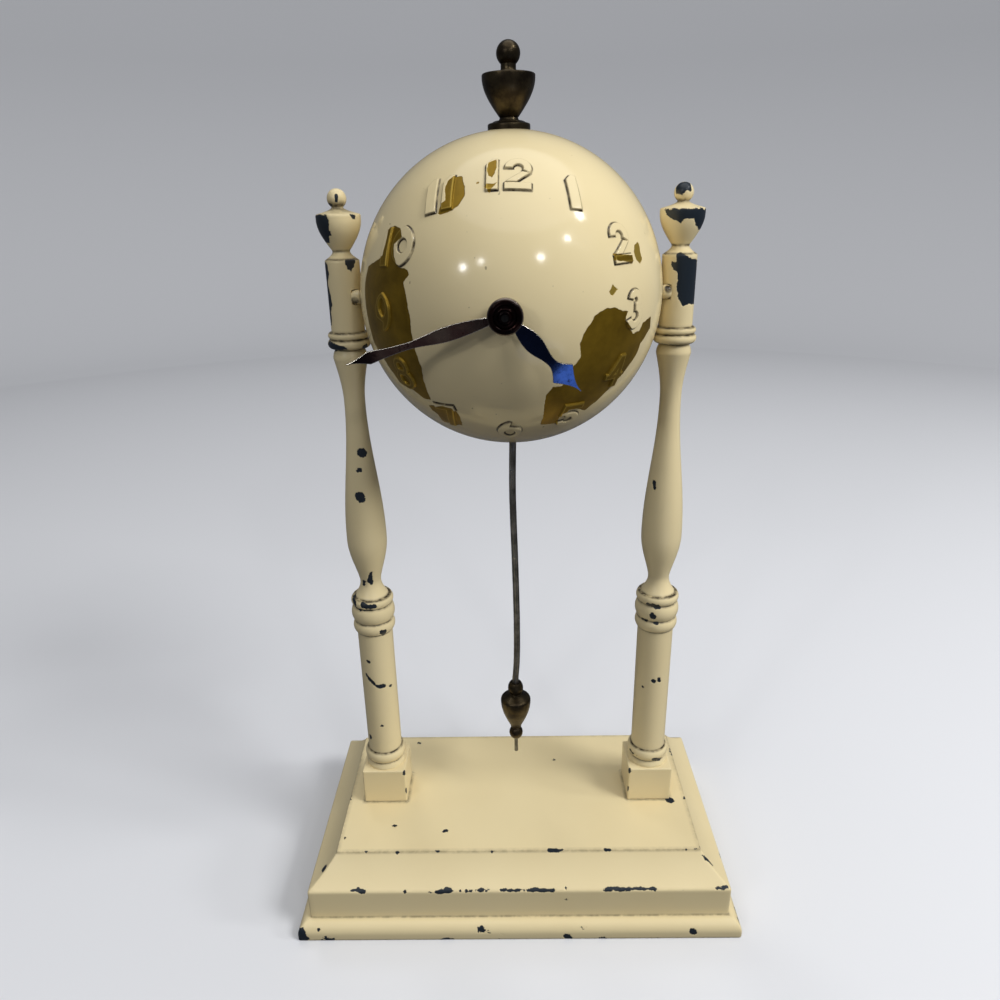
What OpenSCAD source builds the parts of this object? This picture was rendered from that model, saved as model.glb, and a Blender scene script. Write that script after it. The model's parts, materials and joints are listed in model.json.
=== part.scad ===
// Ball pendulum clock: a hollow brass ball with an embossed dial, held between two
// turned columns on a moulded base, with a thirty-hour pendulum movement inside the ball.
// Millimetres, +Z up, the dial faces -Y, the origin is the middle of the base's underside.

/* [Base] */
// Width of the base at the floor
base_w = 178; // [160:1:200]
// Depth of the base at the floor
base_d = 101; // [90:1:115]
// Height of the bottom lip
plinth_h = 7.4; // [6.5:0.1:10]
// Radius of the rounded lip, which is also how far the band is set in
ovolo_r = 4.6; // [3:0.1:6]
// Height of the plain band
band_h = 13.4; // [9:0.1:18]
// Width of the hollow slope round the top plate
cove_w = 10.8; // [7:0.1:13]
// Height of the hollow slope
cove_h = 10.2; // [7:0.1:13]
// Radius of the hollow slope
cove_r = 38; // [25:1:80]

/* [Columns] */
// Height of the ball's centre above the base
column_h = 215.3; // [195:0.5:240]
// Distance from the side of the ball to the axis of each column
column_clear = 6.5; // [6:0.1:8]
// How far the column axes lie behind the middle of the base
column_back = 1.5; // [0:0.1:4]
// Side of the square foot block
block_w = 18.5; // [17:0.1:20]
// Height of the square foot block
block_h = 16.6; // [12:0.1:20]
// Radius of the foot ring
foot_r = 8.6; // [8:0.1:9.2]
// Height of the foot ring
foot_h = 5.2; // [3:0.1:8]
// Radius of the plain lower shaft
shaft_r = 7.1; // [6:0.1:7.5]
// Radius of the thick roll above the shaft
roll_r = 8.65; // [7.8:0.05:10]
// Height of the thick roll
roll_h = 7; // [6:0.1:10]
// Radius of the baluster's belly
belly_r = 7.7; // [6:0.1:9]
// Radius of the upper neck
neck_r = 3.8; // [3:0.1:5]
// Radius of the lower neck
waist_r = 4.1; // [3.2:0.1:5]
// Radius of the two rings under the drum
ring_r = 7.4; // [6.6:0.1:8]
// Radius of the plain drum that carries the ball
drum_r = 5.85; // [5.4:0.05:6]
// Height of the drum
drum_h = 24.2; // [18:0.2:30]
// Radius of the urn's rim
urn_r = 7.45; // [6:0.1:9]
// Height of the urn
urn_h = 11.7; // [8:0.1:15]
// Radius of the knob on the urn
knob_r = 3.2; // [2.5:0.1:4]

/* [Ball] */
// Radius of the ball
ball_r = 51; // [46:0.5:57]
// Wall of the spun shells
shell_t = 0.8; // [0.6:0.1:1]
// Distance from the equator to the seam behind it
seam_y = 4; // [3:0.5:6]
// How far the ball's centre lies in front of the column axes
pivot_front = 1.9; // [1.5:0.1:2.2]
// How far the pivots lie in front of the ball's centre
pivot_lead = 1.8; // [1:0.1:2]
// How far the ball is turned from facing straight ahead, in degrees
ball_turn = -2; // [-2.5:0.1:0]
// Radius of the bead on each pivot stud
bead_r = 2.4; // [2:0.1:2.8]
// Radius of the pivot pins
pin_r = 1.1; // [0.9:0.05:1.25]
// Polar angle of the ring of numerals, from the dial's centre
numeral_polar = 48; // [46:0.5:50]
// How far the ring of numerals hangs below the hands' axis, in degrees
numeral_drop = 2; // [0:0.5:3]
// Height of a numeral
numeral_h = 11.8; // [10:0.1:14]
// Stroke of a numeral
numeral_s = 2.5; // [1.8:0.1:2.8]
// How far the numerals stand out
numeral_t = 0.7; // [0.4:0.1:1]

/* [Finial] */
// Radius of the finial's flange
flange_r = 6.8; // [5:0.1:8]
// Radius of the finial's bowl
bowl_r = 8.4; // [6:0.1:10]
// Height of the finial's bowl
bowl_h = 11.4; // [9:0.1:14]
// Radius of the finial's ball
finial_ball_r = 3.75; // [3:0.05:4.5]

/* [Hands] */
// Length of the minute hand from the centre
minute_len = 47.5; // [42:0.5:50]
// Length of the hour hand from the centre
hour_len = 31.5; // [26:0.5:34]
// Thickness of the hands
hand_t = 0.7; // [0.5:0.1:0.9]
// Clock angle of the minute hand, from twelve
minute_at = 254; // [0:1:359]
// Clock angle of the hour hand, from twelve
hour_at = 136; // [0:1:359]
// Radius of the round hand nut
nut_r = 5.15; // [4.5:0.05:6]

/* [Pendulum] */
// Height of the bob's widest line above the floor
bob_z = 79; // [70:0.5:84]
// Radius of the bob
bob_r = 6.3; // [5:0.1:8]
// Radius of the pendulum rod
rod_r = 1.3; // [0.9:0.05:1.4]
// Radius of the rating nut
rating_r = 2.9; // [2.2:0.1:3.4]
// Pendulum swing to each side, in degrees
swing = 4; // [2:0.5:4]

/* [Movement] */
// Thickness of the plates
plate_t = 1.5; // [1:0.1:2]
// Thickness of the wheels
wheel_t = 1.2; // [0.8:0.1:1.4]
// Thickness of the mainspring's strip
spring_t = 0.5; // [0.3:0.05:0.6]
// Coils of the mainspring
spring_n = 7; // [5:1:9]

/* [Fits] */
// Radial clearance of turning shafts
run_c = 0.05; // [0.03:0.01:0.08]
// Clearance of pieces that are fastened together
seat_c = 0.02; // [0.01:0.01:0.04]

/* [Hidden] */
$fn = 96;

// Colours of the finishes
cream = "#E3D3A8";
brass = "#A98B3C";
old_brass = "#5A4A2A";
steel = "#8A8D90";
blued = "#23222A";

// Heights of the base
band_z = plinth_h + band_h;
base_h = band_z + cove_h;

// Heights of the turned members of a column, from the base upwards
apron_h = 2.7;
lip_h = 5;
fillet_h = 3.8;
bell_h = 6.2;
flare_h = 16.5;
bead_h = 3.6;
low_ring_h = 3.2;
top_ring_h = 2.4;
shoulder_h = 2.7;
lid_h = 2.3;

// The shaft and the baluster's two slopes share the height that the other members leave
foot_members = block_h + apron_h + foot_h + lip_h + roll_h + fillet_h + bell_h;
head_members = flare_h + bead_h + low_ring_h + top_ring_h + drum_h / 2;
rise = column_h - foot_members - head_members;
shaft_h = 0.4466 * rise;
belly_h = 0.1412 * rise;
vase_h = rise - shaft_h - belly_h;
foot_z = base_h + block_h;
shaft_z = foot_z + apron_h + foot_h;
lip_z = shaft_z + shaft_h;
roll_z = lip_z + lip_h;
fillet_z = roll_z + roll_h;
bell_z = fillet_z + fillet_h;
waist_z = bell_z + bell_h;
belly_z = waist_z + belly_h;
neck_z = belly_z + vase_h;
bead_z = neck_z + flare_h;
low_ring_z = bead_z + bead_h;
top_ring_z = low_ring_z + low_ring_h;
drum_z = top_ring_z + top_ring_h;
shoulder_z = drum_z + drum_h;
urn_z = shoulder_z + shoulder_h;
lid_z = urn_z + urn_h;
knob_neck_r = 0.6 * knob_r;
knob_z = lid_z + lid_h + sqrt(knob_r ^ 2 - knob_neck_r ^ 2);

// Places of the columns and the ball
column_x = ball_r + column_clear;
ball_y = column_back - pivot_front;
ball_z = drum_z + drum_h / 2;
shell_in = ball_r - shell_t;
spigot_r = shell_in - seat_c;
spigot_in = spigot_r - shell_t;
pin_tip_x = column_x + 3;
inner_nut_r = 3;
inner_nut_h = 2.6;
stud_in_x = spigot_in - inner_nut_h - 1.4;

// Where the bead of each pivot stud seats in its column, along the pivot line
bead_seat = column_x - sqrt(drum_r ^ 2 - (pivot_front + pivot_lead) ^ 2) + 1.4;

// How far the rear shell's spigot reaches in front of the equator, under both pivot nuts
spigot_reach = pivot_lead - ball_r * sin(ball_turn) + inner_nut_r + 0.6;

// Screws that hold the columns from below
screw_r = 2;
screw_thread_r = 1.5;
screw_head_r = 4;
screw_head_h = 2.6;
screw_sink = 14;
screw_bite = 12;

// One unit of the movement, which is drawn for a ball of radius 51 and grows with the ball
unit = ball_r / 51;

// Plates, escapement and wheel modules
plate_r = 37 * unit;
plate_gap = 21 * unit;
plate_rear = -4.5 * unit;
pallet_z = 32.1 * unit;
escape_r = 10 * unit;
centre_m = 0.45 * unit;
third_m = 0.38 * unit;
great_m = 0.46 * unit;
cannon_m = 0.45 * unit;

// Places of the movement, as [x, z] from the ball's centre
plate_back_y = plate_rear - plate_t;
plate_front_y = plate_back_y - plate_gap;
front_face_y = plate_front_y - plate_t;
centre_n = 70;
third_n = 69;
great_n = 72;
pinion_n = 6;
centre_pinion_n = 8;
escape_n = 30;
pallet_reach = 1.41 * escape_r;
pallet_at = [0, pallet_z];
escape_at = [0, pallet_z - pallet_reach];
centre_third = centre_m * (centre_n + pinion_n) / 2;
third_escape = third_m * (third_n + pinion_n) / 2;
third_up = (centre_third ^ 2 - third_escape ^ 2 + escape_at[1] ^ 2) / (2 * escape_at[1]);
third_at = [-sqrt(centre_third ^ 2 - third_up ^ 2), third_up];
great_reach = great_m * (great_n + centre_pinion_n) / 2;
great_lie = -45;
great_at = great_reach * [cos(great_lie), sin(great_lie)];
third_lie = atan2(third_at[1], third_at[0]);
escape_lie = atan2(escape_at[1] - third_at[1], escape_at[0] - third_at[0]);
pillar_reach = plate_r - 3 * unit;
pillar_r = 2.5 * unit;
pillar_tenon_r = 1.4 * unit;
pillar_nut_h = 1.6 * unit;
pillar_end = 1.8 * unit;
pillar_angles = [150, 10, 215, 278];
centre_arbor_r = 1;
third_arbor_r = 0.7 * unit;
escape_arbor_r = 0.55 * unit;
pallet_arbor_r = 0.8 * unit;
winding_arbor_r = 2 * unit;
arbor_over = 0.6 * unit;
lantern_w = 3.2 * unit;
rim_w = 2.4 * unit;

// Planes of the wheels along Y, from the ball's centre; each is the middle of its wheel
centre_wheel_y = plate_front_y + 3 * unit;
third_wheel_y = plate_front_y + 8 * unit;
escape_wheel_y = plate_back_y - 5.5 * unit;
great_wheel_y = plate_back_y - 4.6 * unit;
ratchet_y = plate_back_y - 2.2 * unit;
spring_y0 = centre_wheel_y + wheel_t / 2 + 1.4 * unit;
spring_y1 = great_wheel_y - wheel_t / 2 - 2.6 * unit;

// Motion work in front of the front plate
cannon_n = 14;
minute_n = 42;
minute_pinion_n = 12;
hour_n = 48;
motion_reach = cannon_m * (cannon_n + minute_n) / 2;
hour_m = 2 * motion_reach / (minute_pinion_n + hour_n);
minute_at_xz = motion_reach * [cos(225), sin(225)];
minute_wheel_y = front_face_y - 2.6 * unit;
hour_wheel_y = minute_wheel_y - 2.6 * unit;
cannon_r = 2.1;
hour_pipe_r = 3;
minute_stud_r = 1;
bush_r = 4.2;
hour_hand_y = -ball_r - 1.5;
minute_hand_y = hour_hand_y - hand_t - 1.5;
nut_h = 3.6;
nut_y = minute_hand_y - hand_t;
arbor_tip_y = nut_y - nut_h - 0.5;

// Winding key
key_hole_r = 4;
key_square = 2.6;
key_barrel_r = 3.1;
key_y = ball_r + 2;
key_barrel_h = 16;
key_wing = 6;
key_t = 1.6;
key_grip = 9;
key_eye_r = 5;
key_eye_hole_r = 2.4;
key_stem_w = 4.4;

// Pendulum
pivot_z = ball_z + pallet_z;
bob_top = 6.2;
bob_tail = 13.8;
collar_r = 3.2;
thread_r = 0.8;
tail_h = 9;
hook_z = 5;
hook_w = 3.6;
hook_h = 7;
hook_bite = 4;
rating_travel = 1.8;

// Points on a circular arc
function arc(c, r, a0, a1, n = 8) =
    [for (i = [0:n]) c + r * [cos(a0 + (a1 - a0) * i / n), sin(a0 + (a1 - a0) * i / n)]];

// Points of a shallow round moulding of radius r and depth d over [z, z + h]
function bulge(r, d, z, h, n = 8) = let (R = (h ^ 2 / 4 + d ^ 2) / (2 * d), a = asin(h / 2 / R))
    arc([r - R, z + h / 2], R, -a, a, n);

// Points of a turned curve from p to q: swelling fast, swelling softly, starting slow, or easing at both ends
function swell(p, q, n = 8) =
    [for (i = [0:n]) [p[0] + (q[0] - p[0]) * sin(90 * i / n), p[1] + (q[1] - p[1]) * i / n]];
function ogee(p, q, n = 8) =
    [for (i = [0:n]) [p[0] + (q[0] - p[0]) * sin(90 * i / n) ^ 1.35, p[1] + (q[1] - p[1]) * i / n]];
function flare(p, q, n = 8) =
    [for (i = [0:n]) [p[0] + (q[0] - p[0]) * (1 - cos(90 * i / n)), p[1] + (q[1] - p[1]) * i / n]];
function ease(p, q, n = 12) =
    [for (i = [0:n]) [p[0] + (q[0] - p[0]) * (1 - cos(180 * i / n)) / 2, p[1] + (q[1] - p[1]) * i / n]];

// Outline of n teeth with straight flanks, for wheels that drive lantern pinions
function train_teeth(n, m, width = 0.5) = let (r = m * n / 2)
    [for (i = [0:n - 1], k = [[-1, -1.2], [-0.35, 0.85], [0.35, 0.85], [1, -1.2]])
        let (a = 360 / n * (i + k[0] * width / 2), q = r + k[1] * m) q * [cos(a), sin(a)]];

// Outline of n involute teeth with a 25 degree pressure angle
function involute_teeth(n, m, play = 0.12, steps = 2) =
    let (r = m * n / 2, pa = 25, rb = r * cos(pa), ra = r + 0.9 * m, rf = r - 1.25 * m,
        t0 = rf > rb ? sqrt((rf / rb) ^ 2 - 1) : 0, t1 = sqrt((ra / rb) ^ 2 - 1),
        half = 90 / n + tan(pa) * 180 / PI - pa - play / 2 / r * 180 / PI,
        flank = [for (i = [0:steps]) let (t = t0 + (t1 - t0) * i / steps)
            [rb * sqrt(1 + t ^ 2), half - t * 180 / PI + atan(t)]],
        up = concat([[rf, half]], flank))
    [for (i = [0:n - 1], s = [-1, 1], j = [0:steps + 1])
        let (p = up[s < 0 ? j : steps + 1 - j], a = 360 / n * i + s * p[1]) p[0] * [cos(a), sin(a)]];

// A solid of revolution from a profile of [radius, height] points
module turned(points) rotate_extrude() polygon(points);

// Places children at the ball's centre, turned as the ball is
module in_ball()
    translate([0, ball_y, ball_z])
        rotate(ball_turn)
            children();

// Places children on the pivot line, their height running outwards on the given side
module on_pivot(side)
    translate([0, ball_y - pivot_lead, ball_z])
        rotate([0, side * 90, 0])
            children();

// Places children, drawn in the XZ plane, between two Y planes of the ball
module between(y0, y1, at = [0, 0])
    in_ball()
        translate([at[0], y1, at[1]])
            rotate([90, 0, 0])
                linear_extrude(y1 - y0)
                    children();

// A round bar or a hole along Y
module bar(r, y0, y1, at = [0, 0])
    between(y0, y1, at)
        circle(r);

// Turns the Z axis of a solid towards the dial's front
module towards_front(y, at = [0, 0])
    in_ball()
        translate([at[0], y, at[1]])
            rotate([90, 0, 0])
                children();

// A toothed wheel with a rim, a hub and crossed-out spokes
module crossed_wheel(teeth, rim_r, hub_r, bore_r, spokes = 4, spoke_w = 2) {
    difference() {
        polygon(teeth);
        difference() {
            circle(rim_r);
            circle(hub_r);
            for (i = [0:spokes - 1])
                rotate(360 / spokes * i)
                    translate([0, -spoke_w / 2])
                        square([rim_r + 1, spoke_w]);
        }
        circle(bore_r);
    }
}

// A lantern pinion: two discs joined by round trundles, with a gap towards the angle mesh
module lantern(n, m, y, width, at, mesh) {
    r = m * n / 2;
    trundle_r = 0.22 * PI * m;
    disc_r = r + 2 * trundle_r;
    disc_t = 0.6;
    for (s = [-1, 1])
        bar(disc_r, y + s * width / 2 - disc_t / 2, y + s * width / 2 + disc_t / 2, at);
    for (i = [0:n - 1])
        bar(trundle_r, y - width / 2, y + width / 2,
            at + r * [cos(mesh + 360 / n * (i + 0.5)), sin(mesh + 360 / n * (i + 0.5))]);
}

// Half profile of the moulded base, for a side of the given half width
function base_profile(half) =
    let (band = half - ovolo_r, top = band - cove_w,
        chord = sqrt(cove_w ^ 2 + cove_h ^ 2), lie = atan2(cove_h, -cove_w),
        mid = [band - cove_w / 2, band_z + cove_h / 2],
        c = mid + sqrt(cove_r ^ 2 - chord ^ 2 / 4) * [cos(lie - 90), sin(lie - 90)],
        spread = asin(chord / 2 / cove_r))
    concat([[half, 0]], arc([band, plinth_h - ovolo_r], ovolo_r, 0, 90),
        arc(c, cove_r, lie + 90 + spread, lie + 90 - spread));

module base_section(half) {
    side = base_profile(half);
    last = len(side) - 1;
    polygon(concat(side, [for (i = [0:last]) [-side[last - i][0], side[last - i][1]]]));
}

module base() {
    color(cream)
        difference() {
            intersection() {
                rotate([90, 0, 0])
                    linear_extrude(base_d + 2, center = true)
                        base_section(base_w / 2);
                rotate([90, 0, 90])
                    linear_extrude(base_w + 2, center = true)
                        base_section(base_d / 2);
            }
            for (s = [-1, 1])
                translate([s * column_x, column_back, 0]) {
                    translate([0, 0, -1])
                        cylinder(r = screw_r + 0.2, h = base_h + 2);
                    translate([0, 0, -1])
                        cylinder(r = screw_head_r + 0.6, h = screw_sink + 1);
                }
        }
}

// Profile of a column, from inside its block to the knob
function column_profile() = concat(
    [[0, foot_z - 4], [foot_r - 1, foot_z - 4]],
    flare([foot_r - 0.2, foot_z], [shaft_r + 0.3, foot_z + apron_h], 4),
    bulge(foot_r, 1.2, foot_z + apron_h, foot_h),
    [[shaft_r, shaft_z], [shaft_r, lip_z]],
    bulge(roll_r - 0.25, 0.9, lip_z, lip_h, 6),
    bulge(roll_r, 1.1, roll_z, roll_h),
    bulge(roll_r - 0.25, 0.9, fillet_z, fillet_h, 6),
    swell([roll_r - 2, bell_z], [waist_r, waist_z], 8),
    ogee([waist_r, waist_z + 0.4], [belly_r, belly_z], 12),
    ease([belly_r, belly_z + 0.5], [neck_r, neck_z], 14),
    flare([neck_r, neck_z + 0.5], [drum_r + 0.25, bead_z], 8),
    [for (i = [1:4]) [drum_r - 0.85 + 1.1 * cos(90 * i / 4), bead_z + bead_h * i / 4]],
    bulge(ring_r + 0.1, 1, low_ring_z, low_ring_h, 6),
    bulge(ring_r - 0.2, 0.8, top_ring_z, top_ring_h, 6),
    [[drum_r, drum_z], [drum_r, shoulder_z - 0.4], [drum_r - 0.4, shoulder_z]],
    swell([drum_r - 0.5, shoulder_z + 0.1], [urn_r - 4.5, urn_z], 5),
    swell([urn_r - 4.4, urn_z + 0.3], [urn_r, lid_z - 1.6], 8),
    [[urn_r, lid_z]],
    swell([urn_r - 0.2, lid_z + 0.1], [knob_neck_r, lid_z + lid_h], 5),
    arc([0, knob_z], knob_r, -acos(knob_neck_r / knob_r), 90, 12));

module column(side) {
    color(cream)
        difference() {
            translate([side * column_x, column_back, 0]) {
                turned(column_profile());
                translate([-block_w / 2, -block_w / 2, base_h])
                    cube([block_w, block_w, block_h]);
            }
            translate([side * column_x, column_back, base_h - 1])
                cylinder(r = screw_thread_r + seat_c, h = screw_bite + 1.5);
            on_pivot(side) {
                cylinder(r = pin_r + seat_c, h = pin_tip_x + 0.5);
                cylinder(r = bead_r + 0.2, h = bead_seat);
            }
        }
}

module column_left() column(-1);
module column_right() column(1);

module column_screws() {
    color(steel)
        for (s = [-1, 1])
            translate([s * column_x, column_back, 0]) {
                difference() {
                    translate([0, 0, screw_sink - screw_head_h])
                        cylinder(r = screw_head_r, h = screw_head_h);
                    translate([-screw_head_r - 1, -0.5, screw_sink - screw_head_h - 1])
                        cube([2 * screw_head_r + 2, 1, 2]);
                }
                translate([0, 0, screw_sink - 0.1])
                    cylinder(r = screw_r, h = base_h - screw_sink + 0.1);
                translate([0, 0, base_h - 0.1])
                    cylinder(r = screw_thread_r, h = screw_bite);
            }
}

// Pivot stud: a thread through both shells, a bead against the ball and a pin in the column
module pivot_stud(side) {
    seat = bead_seat - seat_c;
    color(cream)
        on_pivot(side) {
            translate([0, 0, stud_in_x])
                cylinder(r = pin_r, h = pin_tip_x - stud_in_x);
            difference() {
                turned(concat([[0, ball_r - 1], [bead_r - 0.5, ball_r - 1]],
                    bulge(bead_r, 0.5, ball_r - 0.2, seat - ball_r + 0.2), [[0, seat]]));
                translate([0, pivot_lead, 0])
                    sphere(ball_r + seat_c);
            }
        }
}

module pivot_stud_left() pivot_stud(-1);
module pivot_stud_right() pivot_stud(1);

// Six-sided nut, its outer face rounded to lie against the inside of the ball, whose
// centre may lie to one side of the nut's axis
module inner_nut(bore, aside = 0) {
    intersection() {
        difference() {
            translate([0, 0, spigot_in - inner_nut_h])
                cylinder(r = inner_nut_r, h = 2 * inner_nut_h, $fn = 6);
            translate([0, 0, spigot_in - 2 * inner_nut_h])
                cylinder(r = bore + seat_c, h = 4 * inner_nut_h);
        }
        translate([0, aside, 0])
            sphere(spigot_in - seat_c);
    }
}

module pivot_nuts() {
    color(brass)
        for (s = [-1, 1])
            on_pivot(s)
                inner_nut(pin_r, pivot_lead);
}

// Half of the spun ball's section: a ring of the given radii, cut between two Y planes
module shell_section(r_out, r_in, y0, y1)
    intersection() {
        difference() {
            circle(r_out, $fn = 180);
            circle(r_in, $fn = 180);
        }
        translate([0, y0])
            square([r_out + 1, y1 - y0]);
    }

// Revolves a section about the dial's axis, its height running to the rear
module spun()
    in_ball()
        rotate([-90, 0, 0])
            rotate_extrude($fn = 180)
                children();

// Holes for the finial, the pivots and the pendulum, at the equator of the ball
module equator_holes() {
    for (s = [-1, 1])
        on_pivot(s)
            cylinder(r = pin_r + 0.1, h = ball_r + 5);
    in_ball() {
        cylinder(r = pin_r + 0.25 + 0.1, h = ball_r + 5);
        slot_x = (pallet_z + ball_r) * tan(swing) + 0.5;
        for (x = [-slot_x, slot_x])
            translate([x, 0, -ball_r - 5])
                cylinder(r = rod_r + 0.9, h = ball_r);
        translate([-slot_x, -rod_r - 0.9, -ball_r - 5])
            cube([2 * slot_x, 2 * rod_r + 1.8, ball_r]);
    }
}

// Bold stroke of a numeral along part of a circle
module stroke(at, r, a0, a1)
    translate(at)
        intersection() {
            difference() {
                circle(r, $fn = 48);
                circle(r - numeral_s, $fn = 48);
            }
            polygon(concat([[0, 0]], arc([0, 0], 2 * r, a0, a1, 6)));
        }

// Pointed oval of the given width and height
module lens(w, h) {
    r = (w ^ 2 + h ^ 2) / (4 * w);
    intersection() {
        translate([w / 2 - r, 0])
            circle(r, $fn = 64);
        translate([r - w / 2, 0])
            circle(r, $fn = 64);
    }
}

// Numeral outlines, centred, all worked from the numeral's height and stroke
numeral_w = 0.66 * numeral_h;
top_y = numeral_h / 2;
half_w = numeral_w / 2;

// How far single numbers were stamped askew, in degrees, and off their place, in mm
numeral_lean = [-9, 0, 0, 0, 0, 0, 0, 0, 0, 5, 16, 0];
numeral_off = [0, 0, 0, 0, 0, 0, 0, 0, 0, 0.8, 0, 0.8];

// Widths of the one and the nought, and the gap between two digits
one_w = 1.4 * numeral_s;
nought_w = 0.76 * numeral_h;
digit_gap = 1.7;

module oval_digit(h, w)
    difference() {
        lens(w, h);
        lens(w - 1.7 * numeral_s, h - 3 * numeral_s);
    }

module digit(d) {
    s = numeral_s;
    small_r = half_w - 0.6;
    if (d == 0)
        oval_digit(numeral_h, nought_w);
    if (d == 1)
        polygon([[-0.7 * s, -top_y], [0.7 * s, -top_y], [0.7 * s, top_y], [0, top_y],
            [-0.7 * s, top_y - 0.8 * s]]);
    if (d == 2) {
        stroke([0, top_y - half_w], half_w, -30, 180);
        polygon([[-half_w, -top_y + s], [-half_w + 1.4 * s, -top_y + s],
            [half_w - 0.1 * s, top_y - 1.45 * half_w],
            [half_w - 1.1 * s, top_y - 1.35 * half_w]]);
        translate([-half_w, -top_y])
            square([numeral_w, s + 0.1]);
    }
    if (d == 3) {
        stroke([0, top_y - small_r], small_r, -90, 165);
        stroke([0, half_w - top_y], half_w, -165, 90);
    }
    if (d == 4) {
        translate([0.1 * s, -top_y])
            square([s, numeral_h]);
        translate([-half_w, -top_y + 0.28 * numeral_h])
            square([numeral_w, 0.9 * s]);
        polygon([[-half_w, -top_y + 0.3 * numeral_h], [-half_w + 1.1 * s, -top_y + 0.3 * numeral_h],
            [1.1 * s, top_y - s], [1.1 * s, top_y], [0.1 * s, top_y]]);
    }
    if (d == 5) {
        stroke([0, half_w - top_y], half_w, -160, 130);
        translate([-half_w + 0.2, top_y - s])
            square([numeral_w - 0.6, s]);
        polygon([[-half_w + 0.2, top_y], [-half_w + 0.2 + 0.9 * s, top_y],
            [-half_w + 0.1 + 0.9 * s, 0.06 * numeral_h], [-half_w, 0]]);
    }
    if (d == 6)
        difference() {
            lens(numeral_w, numeral_h);
            translate([0, -0.12 * numeral_h])
                lens(numeral_w - 1.7 * s, 0.46 * numeral_h);
            polygon([[0.1 * numeral_w, top_y], [half_w, top_y], [half_w, 0.16 * numeral_h],
                [0.02 * numeral_w, 0.26 * numeral_h]]);
        }
    if (d == 7) {
        translate([-half_w, top_y - s])
            square([numeral_w, s]);
        polygon([[half_w - 1.3 * s, top_y - 0.5], [half_w, top_y - 0.5],
            [-0.1 * s, -top_y], [-1.2 * s, -top_y]]);
    }
    if (d == 8) {
        translate([0, top_y - small_r])
            difference() {
                circle(small_r, $fn = 48);
                circle(small_r - 0.8 * s, $fn = 48);
            }
        translate([0, half_w - top_y])
            difference() {
                circle(half_w, $fn = 48);
                circle(half_w - 0.8 * s, $fn = 48);
            }
    }
    if (d == 9)
        rotate(180)
            digit(6);
}

// One hour's number, of one or two digits
module number(hour) {
    tens = floor(hour / 10);
    ones = hour % 10;
    ones_w = ones == 0 ? nought_w : ones == 1 ? one_w : numeral_w;
    if (tens == 0)
        digit(ones);
    else {
        translate([-(digit_gap + ones_w) / 2, 0])
            digit(tens);
        translate([(one_w + digit_gap) / 2, 0])
            digit(ones);
    }
}

// The twelve numbers, each stamped upright and square to the ball
module numbers() {
    difference() {
        intersection() {
            in_ball()
                rotate([numeral_drop, 0, 0])
                    for (hour = [1:12]) {
                        h = 30 * hour;
                        lift = asin(sin(numeral_polar) * cos(h));
                        turn = atan2(sin(numeral_polar) * sin(h), cos(numeral_polar));
                        rotate([0, 0, turn])
                            rotate([90 - lift, 0, 0])
                                rotate(numeral_lean[hour - 1])
                                    translate([numeral_off[hour - 1], 0, ball_r - 2.5])
                                        linear_extrude(5)
                                            number(hour);
                    }
            in_ball()
                sphere(ball_r + numeral_t, $fn = 180);
        }
        in_ball()
            sphere(ball_r - shell_t / 2, $fn = 180);
    }
}

module front_shell() {
    color(cream) {
        difference() {
            spun()
                difference() {
                    shell_section(ball_r, shell_in, -ball_r - 1, seam_y);
                    translate([0, -ball_r - 1])
                        square([bush_r + seat_c, ball_r]);
                }
            equator_holes();
        }
        numbers();
    }
}

module rear_shell() {
    color(cream)
        difference() {
            spun() {
                shell_section(ball_r, shell_in, seam_y + seat_c, ball_r + 1);
                shell_section(spigot_r, spigot_in, -spigot_reach, seam_y + 2);
                shell_section(ball_r - shell_t / 2, spigot_in, seam_y + seat_c, seam_y + 2);
            }
            equator_holes();
            bar(key_hole_r, 20, ball_r + 1, great_at);
        }
}

// Finial: an urn with a small ball on top, on a flange that fits the crown of the ball
finial_neck_r = 2.9;
finial_stem_r = 2.4;
finial_bowl_z = ball_r + 3.2;
finial_rim_z = finial_bowl_z + bowl_h;
finial_stem_z = finial_rim_z + 2.6;
finial_ball_z = finial_stem_z + 1 + sqrt(finial_ball_r ^ 2 - finial_stem_r ^ 2);
finial_stud_r = pin_r + 0.25;

function finial_profile() = concat(
    [[0, ball_r - 1], [flange_r, ball_r - 1]],
    [[flange_r, ball_r + 1.1], [flange_r - 0.4, ball_r + 1.5]],
    flare([flange_r - 1.6, ball_r + 1.9], [finial_neck_r + 0.3, ball_r + 2.5], 3),
    [[finial_neck_r, finial_bowl_z]],
    swell([finial_neck_r + 0.2, finial_bowl_z + 0.2], [bowl_r, finial_rim_z], 12),
    arc([bowl_r - 0.5, finial_rim_z + 0.4], 0.5, 0, 80, 3),
    [[finial_stem_r + 0.5, finial_stem_z - 1.2], [finial_stem_r, finial_stem_z - 0.4],
        [finial_stem_r, finial_stem_z + 1]],
    arc([0, finial_ball_z], finial_ball_r, -acos(finial_stem_r / finial_ball_r), 90, 14));

module ball_finial() {
    color(old_brass)
        in_ball() {
            difference() {
                turned(finial_profile());
                sphere(ball_r + seat_c, $fn = 180);
            }
            translate([0, 0, spigot_in - inner_nut_h - 2.4])
                cylinder(r = finial_stud_r, h = 2 * shell_t + inner_nut_h + 4.4);
        }
}

module finial_nut() {
    color(brass)
        in_ball()
            inner_nut(finial_stud_r);
}

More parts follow.
